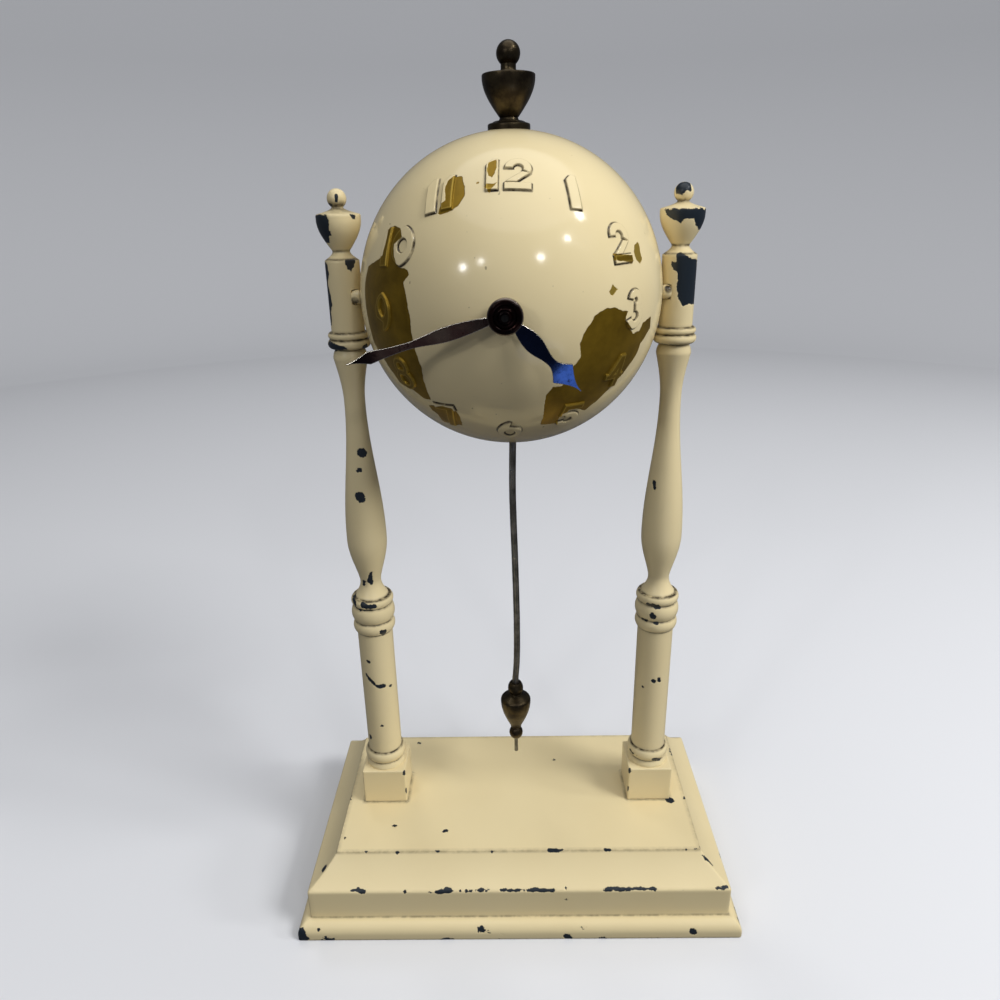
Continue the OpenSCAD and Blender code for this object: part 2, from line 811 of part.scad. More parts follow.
// Bush that lines the hole in the middle of the dial
module dial_bush() {
    color(brass)
        intersection() {
            towards_front(0)
                difference() {
                    union() {
                        cylinder(r = bush_r, h = ball_r + 0.6);
                        cylinder(r = bush_r + 2.4, h = shell_in);
                    }
                    cylinder(r = bush_r + 4, h = shell_in - 2.2);
                    cylinder(r = hour_pipe_r + run_c, h = ball_r + 2);
                }
            union() {
                in_ball()
                    sphere(shell_in - seat_c, $fn = 180);
                towards_front(0)
                    cylinder(r = bush_r, h = ball_r + 2);
            }
        }
}

// Posts soldered to the front shell, which carry the movement's front plate
post_reach = plate_r - 4 * unit;
post_r = 2.5 * unit;

module dial_posts() {
    color(brass)
        intersection() {
            union()
                for (a = [60, 180, 300])
                    bar(post_r, -ball_r, front_face_y - seat_c, post_reach * [cos(a), sin(a)]);
            in_ball()
                sphere(shell_in - seat_c, $fn = 180);
        }
}

// Pivot holes shared by both plates, as [place, arbor radius]
plate_pivots = [[[0, 0], centre_arbor_r], [third_at, third_arbor_r], [escape_at, escape_arbor_r],
    [pallet_at, pallet_arbor_r], [great_at, winding_arbor_r]];

module plate_outline()
    difference() {
        circle(plate_r);
        for (p = plate_pivots)
            translate(p[0])
                circle(p[1] + run_c);
        for (a = pillar_angles)
            translate(pillar_reach * [cos(a), sin(a)])
                circle(pillar_tenon_r + seat_c);
    }

module front_plate() {
    color(brass)
        between(front_face_y, plate_front_y)
            difference() {
                plate_outline();
                translate(minute_at_xz)
                    circle(minute_stud_r + seat_c);
            }
}

module back_plate() {
    color(brass)
        between(plate_back_y, plate_rear)
            plate_outline();
}

module pillars() {
    color(brass)
        for (a = pillar_angles) {
            at = pillar_reach * [cos(a), sin(a)];
            bar(pillar_r, plate_front_y + seat_c, plate_back_y - seat_c, at);
            bar(pillar_tenon_r, front_face_y - pillar_end, plate_rear + pillar_end, at);
        }
}

module pillar_nuts() {
    color(brass)
        for (a = pillar_angles, y = [front_face_y - pillar_nut_h - seat_c, plate_rear + seat_c])
            between(y, y + pillar_nut_h, pillar_reach * [cos(a), sin(a)])
                difference() {
                    circle(pillar_r, $fn = 6);
                    circle(pillar_tenon_r + seat_c);
                }
}

// Mainspring: a flat strip coiled round the winding arbor, its outer end hooked on a pillar
coil_n = 18;
spring_r0 = winding_arbor_r + seat_c;
spring_r1 = great_m * great_n / 2 - 2 * unit;
spring_end = pillar_reach * [cos(pillar_angles[3]), sin(pillar_angles[3])] - great_at;
spring_end_a = atan2(spring_end[1], spring_end[0]);
function coil(i, out) = let (n = spring_n * coil_n, a = spring_end_a - 60 + 360 / coil_n * (i - n),
    r = spring_r0 + (spring_r1 - spring_r0) * i / n + out * spring_t) r * [cos(a), sin(a)];

module mainspring() {
    n = spring_n * coil_n;
    hook = len_of(spring_end) - pillar_r - seat_c;
    tail = [hook * [cos(spring_end_a), sin(spring_end_a)],
        (hook - spring_t) * [cos(spring_end_a), sin(spring_end_a)]];
    color(steel)
        between(spring_y0, spring_y1, great_at)
            polygon(concat([for (i = [0:n]) coil(i, 1)], tail, [for (i = [0:n]) coil(n - i, 0)]));
}

function len_of(v) = sqrt(v[0] ^ 2 + v[1] ^ 2);

module winding_arbor() {
    color(steel) {
        bar(winding_arbor_r, front_face_y - arbor_over, plate_rear + 4 * unit, great_at);
        bar(winding_arbor_r + 1.4 * unit, great_wheel_y - wheel_t / 2 - 2 * unit,
            great_wheel_y - wheel_t / 2 - 0.1, great_at);
        between(plate_rear + 3.9 * unit, key_y - 1, great_at)
            square(key_square, center = true);
    }
}

// Ratchet on the winding arbor; the click on the great wheel holds it
ratchet_r = 6 * unit;
ratchet_n = 16;
ratchet_t = 1.2 * unit;

module ratchet_wheel() {
    color(steel)
        between(ratchet_y - ratchet_t / 2, ratchet_y + ratchet_t / 2, great_at)
            difference() {
                polygon([for (i = [0:ratchet_n - 1], k = [0, 1])
                    let (a = 360 / ratchet_n * (i + 0.08 * k))
                        ratchet_r * (1 - 0.2 * k) * [cos(a), sin(a)]]);
                circle(winding_arbor_r + seat_c);
            }
}

module click() {
    foot = 11.2 * unit;
    nose = unit * [[10.6, 1.4], [3.2, 6], [2.2, 5.5], [3.4, 5.2], [10, -0.4]];
    color(steel) {
        between(ratchet_y - ratchet_t / 2, ratchet_y + ratchet_t / 2, great_at)
            difference() {
                union() {
                    translate([foot, 0])
                        circle(1.6 * unit);
                    polygon(nose);
                }
                circle(ratchet_r + run_c);
            }
        bar(0.7 * unit, great_wheel_y + wheel_t / 2 + seat_c, ratchet_y, great_at + [foot, 0]);
    }
}

module winding_key() {
    color(steel)
        difference() {
            union() {
                bar(key_barrel_r, key_y - key_barrel_h, key_y, great_at);
                in_ball()
                    translate([great_at[0], key_y, great_at[1] - key_t / 2])
                        linear_extrude(key_t) {
                            for (s = [-1, 1])
                                translate([s * key_wing, key_wing])
                                    difference() {
                                        circle(key_eye_r);
                                        circle(key_eye_hole_r);
                                    }
                            translate([-key_stem_w / 2, -0.5])
                                square([key_stem_w, key_grip]);
                        }
            }
            between(key_y - key_barrel_h - 1, key_y - 0.8, great_at)
                square(key_square + 2 * seat_c, center = true);
        }
}

module great_wheel() {
    color(brass)
        between(great_wheel_y - wheel_t / 2, great_wheel_y + wheel_t / 2, great_at)
            difference() {
                rotate(great_lie + 180)
                    polygon(train_teeth(great_n, great_m));
                circle(winding_arbor_r + run_c);
            }
}

module centre_arbor() {
    color(steel) {
        bar(centre_arbor_r, arbor_tip_y, plate_rear + arbor_over);
        lantern(centre_pinion_n, great_m, great_wheel_y, lantern_w + wheel_t, [0, 0], great_lie);
    }
}

module centre_wheel() {
    color(brass)
        between(centre_wheel_y - wheel_t / 2, centre_wheel_y + wheel_t / 2)
            rotate(third_lie)
                crossed_wheel(train_teeth(centre_n, centre_m), centre_m * centre_n / 2 - rim_w, 3.2 * unit,
                    centre_arbor_r + seat_c);
}

module third_arbor() {
    color(steel) {
        bar(third_arbor_r, front_face_y - arbor_over, plate_rear + arbor_over, third_at);
        lantern(pinion_n, centre_m, centre_wheel_y, lantern_w, third_at, third_lie + 180);
    }
}

module third_wheel() {
    color(brass)
        between(third_wheel_y - wheel_t / 2, third_wheel_y + wheel_t / 2, third_at)
            rotate(escape_lie)
                crossed_wheel(train_teeth(third_n, third_m), third_m * third_n / 2 - rim_w, 2.6 * unit,
                    third_arbor_r + seat_c);
}

module escape_arbor() {
    color(steel) {
        bar(escape_arbor_r, front_face_y - arbor_over, plate_rear + arbor_over, escape_at);
        lantern(pinion_n, third_m, third_wheel_y, lantern_w, escape_at, escape_lie + 180);
    }
}

// Escape wheel: pointed teeth that lean towards the way they turn
escape_depth = 1.8 * unit;
escape_pitch = 360 / escape_n;

module escape_wheel() {
    lean = 0.14;
    teeth = [for (i = [0:escape_n - 1],
        k = [[-lean - 0.25, escape_depth], [-0.05, 0], [0.05, 0], [0.25 - lean, escape_depth]])
        let (a = 90 + escape_pitch * (i + k[0]), r = escape_r - k[1]) r * [cos(a), sin(a)]];
    color(brass)
        between(escape_wheel_y - wheel_t / 2, escape_wheel_y + wheel_t / 2, escape_at)
            crossed_wheel(teeth, escape_r - escape_depth - 1.4 * unit, 2.2 * unit, escape_arbor_r + seat_c, 4,
                1.4 * unit);
}

module pallet_arbor() {
    color(steel)
        bar(pallet_arbor_r, front_face_y - arbor_over, plate_rear + pillar_end, pallet_at);
}

// Anchor: a bent strip over the escape wheel, with a nib at each end
anchor_t = 3 * unit;
anchor_w = 1.6 * unit;
nib_w = 0.8 * unit;
nib_h = 2.2 * unit;
span_a = acos(escape_r / pallet_reach);

module pallet_anchor() {
    wheel_c = [0, -pallet_reach];
    tip = wheel_c + (escape_r + nib_h) * [sin(span_a), cos(span_a)];
    color(steel)
        difference() {
            union() {
                anchor_plate()
                    circle(1.5 * anchor_w);
                for (s = [-1, 1]) {
                    anchor_plate()
                        rotate(90 - s * (90 - atan2(tip[1], tip[0])))
                            translate([0, -anchor_w / 2])
                                square([len_of(tip) + nib_w / 2, anchor_w]);
                    anchor_plate()
                        translate(wheel_c)
                            rotate(-s * span_a)
                                polygon([[-nib_w / 2, escape_r + nib_h + 0.6 * unit],
                                    [nib_w / 2, escape_r + nib_h + 0.6 * unit],
                                    [nib_w / 2, escape_r + 0.02], [-nib_w / 2, escape_r + 0.18 * unit]]);
                }
            }
            bar(pallet_arbor_r + seat_c, front_face_y, plate_rear, pallet_at);
        }
}

module anchor_plate()
    between(escape_wheel_y - anchor_t / 2, escape_wheel_y + anchor_t / 2, pallet_at)
        children();

// Crutch: a strip from the pallet arbor down to a fork that holds the pendulum rod
crutch_len = 20 * unit;
crutch_t = 0.8 * unit;
crutch_w = 2.2 * unit;
crutch_y = plate_rear + 1.2 * unit;
fork_w = 1.4;
fork_h = 2;
fork_x = rod_r + 0.15;

module crutch() {
    color(brass) {
        between(crutch_y - crutch_t / 2, crutch_y + crutch_t / 2, pallet_at)
            difference() {
                union() {
                    circle(crutch_w);
                    translate([-crutch_w / 2, -crutch_len])
                        square([crutch_w, crutch_len]);
                    translate([-fork_x - fork_w, -crutch_len])
                        square([2 * (fork_x + fork_w), fork_h]);
                }
                circle(pallet_arbor_r + seat_c);
            }
        for (s = [-1, 1])
            between(crutch_y, rod_r + 1, pallet_at + [s * (fork_x + fork_w / 2), -crutch_len])
                translate([-fork_w / 2, 0])
                    square([fork_w, fork_h]);
    }
}

// Cock on the back plate, with a slit for the suspension spring
cock_z = 5.4;
cock_w = 7;
cock_h = 4.4;
strip_t = 0.16;
strip_w = 3;

module suspension_cock() {
    color(brass)
        in_ball()
            translate([0, 0, pallet_z + cock_z])
                difference() {
                    translate([-cock_w / 2, plate_rear + seat_c, -cock_h])
                        cube([cock_w, strip_w / 2 + 1 - plate_rear - seat_c, cock_h]);
                    translate([-strip_t / 2 - seat_c, -strip_w / 2 - seat_c, -cock_h - 1])
                        cube([strip_t + 2 * seat_c, strip_w + 10, cock_h + 2]);
                    translate([-cock_w, plate_rear - 1, -cock_h - 1])
                        cube([2 * cock_w, -strip_w / 2 - plate_rear, cock_h - 1.5]);
                }
}

module suspension_spring() {
    color(steel)
        in_ball()
            translate([-strip_t / 2, -strip_w / 2, pallet_z - hook_z - hook_bite])
                cube([strip_t, strip_w, hook_z + hook_bite + cock_z]);
}

// Rod: a slit block for the spring, the rod itself and a threaded tail for the rating nut
module pendulum_rod() {
    bob_low = bob_z - bob_tail;
    color(brass)
        translate([0, ball_y, 0]) {
            rotate(ball_turn)
                difference() {
                    translate([-hook_w / 2, -hook_w / 2, pivot_z - hook_z - hook_h])
                        cube([hook_w, hook_w, hook_h]);
                    translate([-strip_t / 2 - seat_c, -strip_w, pivot_z - hook_z - hook_bite - seat_c])
                        cube([strip_t + 2 * seat_c, 2 * strip_w, hook_h]);
                }
            translate([0, 0, bob_z])
                cylinder(r = rod_r, h = pivot_z - hook_z - hook_h - bob_z + 1);
            translate([0, 0, bob_low - 2 * rating_r - tail_h + 2])
                cylinder(r = thread_r, h = bob_tail + 2 * rating_r + tail_h - 1);
        }
}

// Bob: a turned urn with a round collar, bored for the rod
function bob_profile() = let (low = bob_z - bob_tail) concat(
    [[rod_r - 0.05, low], [2.1, low], [2.3, low + 0.8]],
    swell([2.3, low + 1], [bob_r, bob_z], 10),
    arc([bob_r - 1.6, bob_z + 0.2], 1.6, 0, 75, 4),
    [[2.4, bob_z + 3]],
    bulge(collar_r, 0.9, bob_z + 3.2, bob_top - 0.6, 8),
    [[rod_r - 0.05, bob_z + 2.6 + bob_top]]);

module pendulum_bob() {
    color(old_brass)
        translate([0, ball_y, 0])
            difference() {
                turned(concat([[0, bob_z - bob_tail]], bob_profile(), [[0, bob_z + 2.6 + bob_top]]));
                translate([0, 0, bob_z - rating_travel - 0.4])
                    cylinder(r = rod_r + run_c, h = 20);
                translate([0, 0, bob_z - bob_tail - 1])
                    cylinder(r = thread_r + run_c, h = bob_tail + 2);
            }
}

module rating_nut() {
    top = bob_z - bob_tail - seat_c;
    color(old_brass)
        translate([0, ball_y, 0])
            difference() {
                turned(concat([[0, top - 2 * rating_r]],
                    bulge(rating_r, 1.5, top - 2 * rating_r, 2 * rating_r, 10), [[0, top]]));
                translate([0, 0, top - 20])
                    cylinder(r = thread_r + run_c, h = 30);
            }
}

module minute_stud() {
    color(steel) {
        bar(minute_stud_r, hour_wheel_y - wheel_t / 2 - 1.2, plate_front_y, minute_at_xz);
        bar(minute_stud_r + 0.8, minute_wheel_y + wheel_t / 2 + 0.3, front_face_y - seat_c, minute_at_xz);
    }
}

module cannon_pinion() {
    color(steel)
        difference() {
            union() {
                between(minute_wheel_y - wheel_t / 2 - 0.2, minute_wheel_y + wheel_t / 2 + 0.2)
                    rotate(225)
                        polygon(involute_teeth(cannon_n, cannon_m));
                bar(cannon_r, minute_hand_y - hand_t, minute_wheel_y + wheel_t / 2 + 0.2);
            }
            bar(centre_arbor_r + run_c, -ball_r - 20, plate_rear);
        }
}

module minute_wheel() {
    color(brass)
        difference() {
            union() {
                between(minute_wheel_y - wheel_t / 2, minute_wheel_y + wheel_t / 2, minute_at_xz)
                    rotate(45 + 180 / minute_n)
                        crossed_wheel(involute_teeth(minute_n, cannon_m), cannon_m * minute_n / 2 - rim_w,
                            4 * unit, minute_stud_r + run_c);
                between(hour_wheel_y - wheel_t / 2 - 0.4, minute_wheel_y, minute_at_xz)
                    rotate(45)
                        polygon(involute_teeth(minute_pinion_n, hour_m));
            }
            bar(minute_stud_r + run_c, -ball_r, plate_rear, minute_at_xz);
        }
}

module hour_wheel() {
    color(brass)
        difference() {
            union() {
                between(hour_wheel_y - wheel_t / 2, hour_wheel_y + wheel_t / 2)
                    rotate(225 + 180 / hour_n)
                        crossed_wheel(involute_teeth(hour_n, hour_m), hour_m * hour_n / 2 - rim_w, 4.4 * unit,
                            cannon_r + run_c);
                bar(hour_pipe_r, hour_hand_y - hand_t, hour_wheel_y + wheel_t / 2);
            }
            bar(cannon_r + run_c, -ball_r - 20, plate_rear);
        }
}

// Outline of a spade hand along +Y: a leaf, a narrow neck and a pointed spade
module spade_hand(length, leaf_at, leaf_w, neck_at, neck_w, spade_at, spade_w, hub_r, bore_r) {
    steps = 6;
    half = concat(
        [for (i = [0:steps]) let (t = i / steps)
            [neck_w + (leaf_w - neck_w) * sin(90 * t), hub_r + (leaf_at - hub_r) * t]],
        [for (i = [1:steps]) let (t = i / steps)
            [neck_w + (leaf_w - neck_w) * (1 + cos(180 * t)) / 2, leaf_at + (neck_at - leaf_at) * t]],
        [for (i = [1:steps]) let (t = i / steps)
            [neck_w + (spade_w - neck_w) * (1 - cos(90 * t)), neck_at + (spade_at - neck_at) * t]],
        [for (i = [1:steps]) let (t = i / steps)
            [0.15 + (spade_w - 0.15) * (1 - sin(90 * t)), spade_at + (length - spade_at) * t]]);
    last = len(half) - 1;
    difference() {
        union() {
            circle(hub_r + 0.6);
            polygon(concat(half, [for (i = [0:last]) [-half[last - i][0], half[last - i][1]]]));
        }
        circle(bore_r);
    }
}

module hour_hand() {
    color(blued)
        between(hour_hand_y - hand_t, hour_hand_y)
            rotate(-hour_at)
                spade_hand(hour_len, 11, 2.7, 18.6, 1.25, 23.4, 3.9, 4.2, hour_pipe_r + seat_c);
}

module minute_hand() {
    color(blued)
        between(minute_hand_y - hand_t, minute_hand_y)
            rotate(-minute_at)
                spade_hand(minute_len, 16.5, 2.15, 29, 1, 40.5, 1.85, 3.6, cannon_r + seat_c);
}

// Round hand nut: a rolled rim, a hollow face and a raised middle
module hand_nut() {
    color(blued)
        towards_front(nut_y)
            difference() {
                turned(concat([[0, seat_c], [nut_r - 0.8, seat_c]], arc([nut_r - 1.2, 1.2], 1.2, -40, 120, 8),
                    [[nut_r - 2.2, 1.5], [2.1, 1.7], [1.9, nut_h - 0.4], [1.5, nut_h], [0, nut_h]]));
                cylinder(r = centre_arbor_r + run_c, h = 20, center = true);
            }
}

base();
column_left();
column_right();
column_screws();
pivot_stud_left();
pivot_stud_right();
pivot_nuts();
front_shell();
rear_shell();
ball_finial();
finial_nut();
dial_bush();
dial_posts();
front_plate();
back_plate();
pillars();
pillar_nuts();
mainspring();
winding_arbor();
ratchet_wheel();
winding_key();
great_wheel();
click();
centre_arbor();
centre_wheel();
third_arbor();
third_wheel();
escape_arbor();
escape_wheel();
pallet_arbor();
pallet_anchor();
crutch();
suspension_cock();
suspension_spring();
pendulum_rod();
pendulum_bob();
rating_nut();
minute_stud();
cannon_pinion();
minute_wheel();
hour_wheel();
hour_hand();
minute_hand();
hand_nut();
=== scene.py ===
"""Ball pendulum clock: models the visible pieces of the clock round its fixed frame, and finishes them."""

import json
import math

import bpy
import numpy as np
from mathutils import Matrix, Vector


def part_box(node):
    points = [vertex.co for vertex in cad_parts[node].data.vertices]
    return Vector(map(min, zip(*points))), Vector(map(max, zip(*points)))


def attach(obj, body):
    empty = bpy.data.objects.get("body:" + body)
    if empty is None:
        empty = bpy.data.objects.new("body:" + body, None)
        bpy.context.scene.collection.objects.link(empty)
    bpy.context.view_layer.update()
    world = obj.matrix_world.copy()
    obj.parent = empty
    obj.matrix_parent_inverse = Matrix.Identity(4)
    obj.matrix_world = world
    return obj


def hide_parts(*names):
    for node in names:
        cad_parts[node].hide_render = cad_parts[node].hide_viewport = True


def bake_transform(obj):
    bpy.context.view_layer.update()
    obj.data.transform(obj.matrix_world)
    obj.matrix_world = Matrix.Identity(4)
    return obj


bl_info = {
    "name": "Ball Pendulum Clock",
    "version": (1, 0, 0),
    "blender": (4, 5, 0),
    "location": "View3D > Sidebar > Clock",
    "description": "Models and finishes the pieces of a ball pendulum clock",
    "category": "Object",
}

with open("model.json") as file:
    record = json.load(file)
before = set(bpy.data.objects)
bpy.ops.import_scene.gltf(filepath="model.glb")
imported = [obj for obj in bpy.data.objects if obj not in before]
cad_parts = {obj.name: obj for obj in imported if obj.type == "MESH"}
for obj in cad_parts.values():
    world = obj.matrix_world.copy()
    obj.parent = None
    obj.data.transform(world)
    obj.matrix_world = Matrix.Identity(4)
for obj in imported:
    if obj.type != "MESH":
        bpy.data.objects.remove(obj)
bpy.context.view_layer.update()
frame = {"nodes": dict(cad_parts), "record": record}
MM = 0.001
# Turn that lays a turned piece along the X axis
ACROSS = (0, math.radians(90), 0)
# Stands, in mm, for a mark that is nowhere near
FAR = 9.0


# Sizes and places

def extent(node):
    """Size of a frame node along each axis, in metres."""
    low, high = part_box(node)
    return high - low


def middle(node):
    """Centre of a frame node's box, in metres."""
    low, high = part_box(node)
    return (low + high) / 2


def hex_linear(code):
    """Turns an sRGB hex colour into linear RGBA."""
    parts = [int(code[i:i + 2], 16) / 255 for i in (0, 2, 4)]
    return [c / 12.92 if c <= 0.04045 else ((c + 0.055) / 1.055) ** 2.4 for c in parts] + [1.0]


def length(name, description, default):
    """A length property in metres."""
    return bpy.props.FloatProperty(name=name, description=description, default=default, min=0.0,
                                   subtype="DISTANCE", unit="LENGTH", precision=5)


def angle(name, description, degrees):
    """An angle property, its default given in degrees."""
    return bpy.props.FloatProperty(name=name, description=description, default=math.radians(degrees),
                                   subtype="ANGLE", unit="ROTATION")


def colour(name, description, code):
    """A colour property, its default given as an sRGB hex value."""
    return bpy.props.FloatVectorProperty(name=name, description=description, default=hex_linear(code),
                                         size=4, min=0.0, max=1.0, subtype="COLOR")


class ClockStandSizes(bpy.types.PropertyGroup):
    """Sizes of the base and the two columns."""
    base_width: length("Base width", "Width of the base at the floor", extent("base").x)
    base_depth: length("Base depth", "Depth of the base at the floor", extent("base").y)
    corner: length("Corner", "Cut of the base's upright corners", 0.0008)
    lip: length("Lip", "Height of the bottom lip", 0.0074)
    ovolo: length("Ovolo", "Radius of the rounded lip", 0.0046)
    band: length("Band", "Height of the plain band", 0.0134)
    cove_width: length("Cove width", "Width of the hollow slope", 0.0108)
    cove_height: length("Cove height", "Height of the hollow slope", 0.0102)
    cove_radius: length("Cove radius", "Radius of the hollow slope", 0.038)
    edge: length("Edge", "Radius of the paint-softened edges", 0.0005)
    column_reach: length("Column reach", "Distance of a column's axis from the middle", 0.0575)
    column_back: length("Column back", "Distance of the column axes behind the middle", 0.0015)
    block: length("Block", "Side of the square foot block", 0.0185)
    block_height: length("Block height", "Height of the square foot block", 0.0166)
    drum: length("Drum", "Radius of the drum that a bead seats in", 0.00585)
    bead_hole: length("Bead hole", "Radius of the hole that a bead seats in", 0.0026)
    bead_sink: length("Bead sink", "How far a bead sinks into its drum", 0.0014)


class ClockBallSizes(bpy.types.PropertyGroup):
    """Sizes of the ball and its embossed numbers."""
    radius: length("Ball radius", "Outer radius of the spun ball", 0.051)
    wall: length("Wall", "Thickness of the spun shells", 0.0008)
    seam: length("Seam", "Distance from the equator to the seam behind it", 0.004)
    spigot: length("Spigot", "How far the rear shell reaches past the equator into the front one", 0.00718)
    turn: angle("Turn", "Turn of the ball about the vertical", -2.0)
    numeral_height: length("Numeral height", "Height of a numeral", 0.0118)
    numeral_stroke: length("Numeral stroke", "Stroke of a numeral", 0.0025)
    numeral_relief: length("Numeral relief", "How far the numerals stand out", 0.0007)
    numeral_polar: angle("Numeral ring", "Polar angle of the ring of numerals", 48.0)
    numeral_drop: angle("Numeral drop", "How far the ring hangs below the hands' axis", 2.0)
    bush_hole: length("Bush hole", "Radius of the hole in the middle of the dial", 0.00422)
    stud_hole: length("Stud hole", "Radius of the holes for the pivot studs", 0.0013)
    finial_hole: length("Finial hole", "Radius of the hole for the finial's stud", 0.00155)
    winding_hole: length("Winding hole", "Radius of the hole for the key", 0.004)
    slot: length("Slot", "Radius at the ends of the pendulum's slot", 0.0022)
    slot_reach: length("Slot reach", "Distance from the slot's middle to the middle of an end", 0.0063)


class ClockHandSizes(bpy.types.PropertyGroup):
    """Finish of the two hands and their nut."""
    bevel: length("Bevel", "Width of the filed edge of a hand", 0.00038)
    bend: angle("Bend", "How far the hour hand's spade is bent back", 14.0)
    nut_height: length("Nut height", "Height of the hand nut", 0.0036)
    nut_stand: length("Nut stand", "How far the hand nut's back stands off the ball", 0.0044)


class ClockFinishes(bpy.types.PropertyGroup):
    """Colours of the clock's finishes and its stage."""
    cream: colour("Cream", "Cream paint", "E6D5A8")
    cream_warm: colour("Aged cream", "Yellowed places in the cream paint", "DDCA9A")
    lacquer: colour("Lacquer", "Dark lacquer under the stand's paint", "1C242C")
    # Grime is also painted shade: the dark lines round the foot of the numbers, in the grooves and in the
    # corners.
    grime_and_shade: colour("Grime", "Dirt in grooves and along the numbers", "261B0E")
    bare_brass: colour("Bare brass", "Tarnished brass under the ball's enamel", "A07F22")
    dark_brass: colour("Dark brass", "Dark tarnish on bare brass", "826616")
    bright_brass: colour("Bright brass", "Rubbed edges of brass", "C9A94A")
    bronze: colour("Old bronze", "Brown patina of the finial and the bob", "352D23")
    worn_bronze: colour("Worn bronze", "Handled places of the finial and the bob", "62563F")
    grey_brass: colour("Grey brass", "Dull patina of the rod", "6A6864")
    worn_grey: colour("Worn grey brass", "Handled places of the rod", "A4A29C")
    # The blue is partly the temper and partly painted reflection of a blue surface below the bent spade.
    blued: colour("Blued steel", "Tempered blue of the hour hand", "4C70BC")
    dark_blue: colour("Dark blue", "Deep places in the blue temper", "2C3C66")
    browned: colour("Browned steel", "Brown temper of the minute hand", "745650")
    worn_brown: colour("Worn brown", "Rubbed places of the brown temper", "A99682")
    steel: colour("Steel", "Bare steel", "9A9A98")
    floor: colour("Floor", "Pale studio paper", "E2E3E6")


# Drawing a piece by hand

def fresh(add_primitive, name, **size):
    """Adds a primitive with nothing else selected, and names it."""
    bpy.ops.object.select_all(action="DESELECT")
    add_primitive(**size)
    piece = bpy.context.active_object
    piece.name = name
    piece.data.name = name
    return piece


def edit():
    """Opens the active piece with everything in it selected."""
    bpy.ops.object.mode_set(mode="EDIT")
    bpy.ops.mesh.select_all(action="SELECT")


def pick(piece, domain, test):
    """Opens the active piece with only the vertices, edges or polygons selected that pass a test."""
    for part in ("vertices", "edges", "polygons"):
        for item in getattr(piece.data, part):
            item.select = False
    for item in getattr(piece.data, domain):
        item.select = bool(test(item))
    bpy.ops.object.mode_set(mode="EDIT")


def done():
    """Closes edit mode."""
    bpy.ops.object.mode_set(mode="OBJECT")


def only(piece):
    """Makes a piece the only one selected."""
    bpy.ops.object.select_all(action="DESELECT")
    piece.select_set(True)
    bpy.context.view_layer.objects.active = piece


def place(piece, at, turn=(0, 0, 0)):
    """Turns and moves a piece, and puts its place in its mesh."""
    only(piece)
    piece.rotation_euler = turn
    piece.location = at
    bpy.ops.object.transform_apply(location=True, rotation=True, scale=True)


def turned(name, profile, steps):
    """Draws a half profile of (radius, height) points in mm and spins it round the Z axis."""
    piece = fresh(bpy.ops.mesh.primitive_plane_add, name, size=MM)
    edit()
    bpy.ops.mesh.merge(type="CENTER")
    bpy.ops.transform.translate(value=(profile[0][0] * MM, 0, profile[0][1] * MM))
    for (r0, z0), (r1, z1) in zip(profile, profile[1:]):
        bpy.ops.mesh.extrude_vertices_move(
            TRANSFORM_OT_translate={"value": ((r1 - r0) * MM, 0, (z1 - z0) * MM)})
    bpy.ops.mesh.select_all(action="SELECT")
    bpy.ops.mesh.spin(steps=steps, angle=2 * math.pi, center=(0, 0, 0), axis=(0, 0, 1))
    bpy.ops.mesh.select_all(action="SELECT")
    bpy.ops.mesh.remove_doubles(threshold=0.002 * MM)
    bpy.ops.mesh.normals_make_consistent(inside=False)
    done()
    return piece


def cut(piece, cutter):
    """Takes a cutter out of a piece, and removes the cutter."""
    only(piece)
    hole = piece.modifiers.new("cut", "BOOLEAN")
    hole.operation = "DIFFERENCE"
    hole.solver = "MANIFOLD"
    hole.object = cutter
    bpy.ops.object.modifier_apply(modifier="cut")
    mesh = cutter.data
    bpy.data.objects.remove(cutter)
    bpy.data.meshes.remove(mesh)


def drill(piece, name, radius, depth, at, turn=(0, 0, 0), vertices=48):
    """Takes a round hole out of a piece, with its middle at a place."""
    hole = fresh(bpy.ops.mesh.primitive_cylinder_add, name, vertices=vertices, radius=radius, depth=depth)
    place(hole, at, turn)
    cut(piece, hole)


def slice_across(piece, places, normal):
    """Cuts the faces of a piece across at some places, so that it can bend there."""
    only(piece)
    for at in places:
        edit()
        bpy.ops.mesh.bisect(plane_co=at, plane_no=normal, use_fill=False)
        done()


def soften(piece, width, segments, material=-1):
    """Rounds the sharp edges of a piece, and can give them a material of their own."""
    only(piece)
    bevel = piece.modifiers.new("soft_edge", "BEVEL")
    bevel.width = width
    bevel.segments = segments
    bevel.material = material
    bevel.limit_method = "ANGLE"
    bevel.angle_limit = math.radians(40)
    bpy.ops.object.modifier_apply(modifier="soft_edge")


def copy_of(node, name):
    """A new piece from a frame node's mesh, its loose triangles merged and flat faces made whole."""
    source = frame["nodes"][node]
    piece = bpy.data.objects.new(name, source.data.copy())
    piece.data.name = name
    bpy.context.scene.collection.objects.link(piece)
    only(piece)
    edit()
    bpy.ops.mesh.remove_doubles(threshold=0.002 * MM)
    bpy.ops.mesh.dissolve_limited(angle_limit=math.radians(1.0))
    done()
    return piece


def coat(piece, *materials):
    """Gives a piece its materials in place of any it has."""
    piece.data.materials.clear()
    for material in materials:
        piece.data.materials.append(material)


def finish(piece, body, surface, nodes, smooth=35.0):
    """Shades a piece, gives it its material, and seats it on its body in place of its nodes."""
    only(piece)
    bpy.ops.object.shade_smooth_by_angle(angle=math.radians(smooth))
    if surface:
        coat(piece, material_for(surface))
    if body:
        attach(piece, body)
    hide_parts(*nodes)


# Turned curves, as lists of (radius, height) in mm

def arc(centre, r, a0, a1, n):
    """Points on a circle between two angles in degrees."""
    turns = [math.radians(a0 + (a1 - a0) * i / n) for i in range(n + 1)]
    return [(centre[0] + r * math.cos(a), centre[1] + r * math.sin(a)) for a in turns]


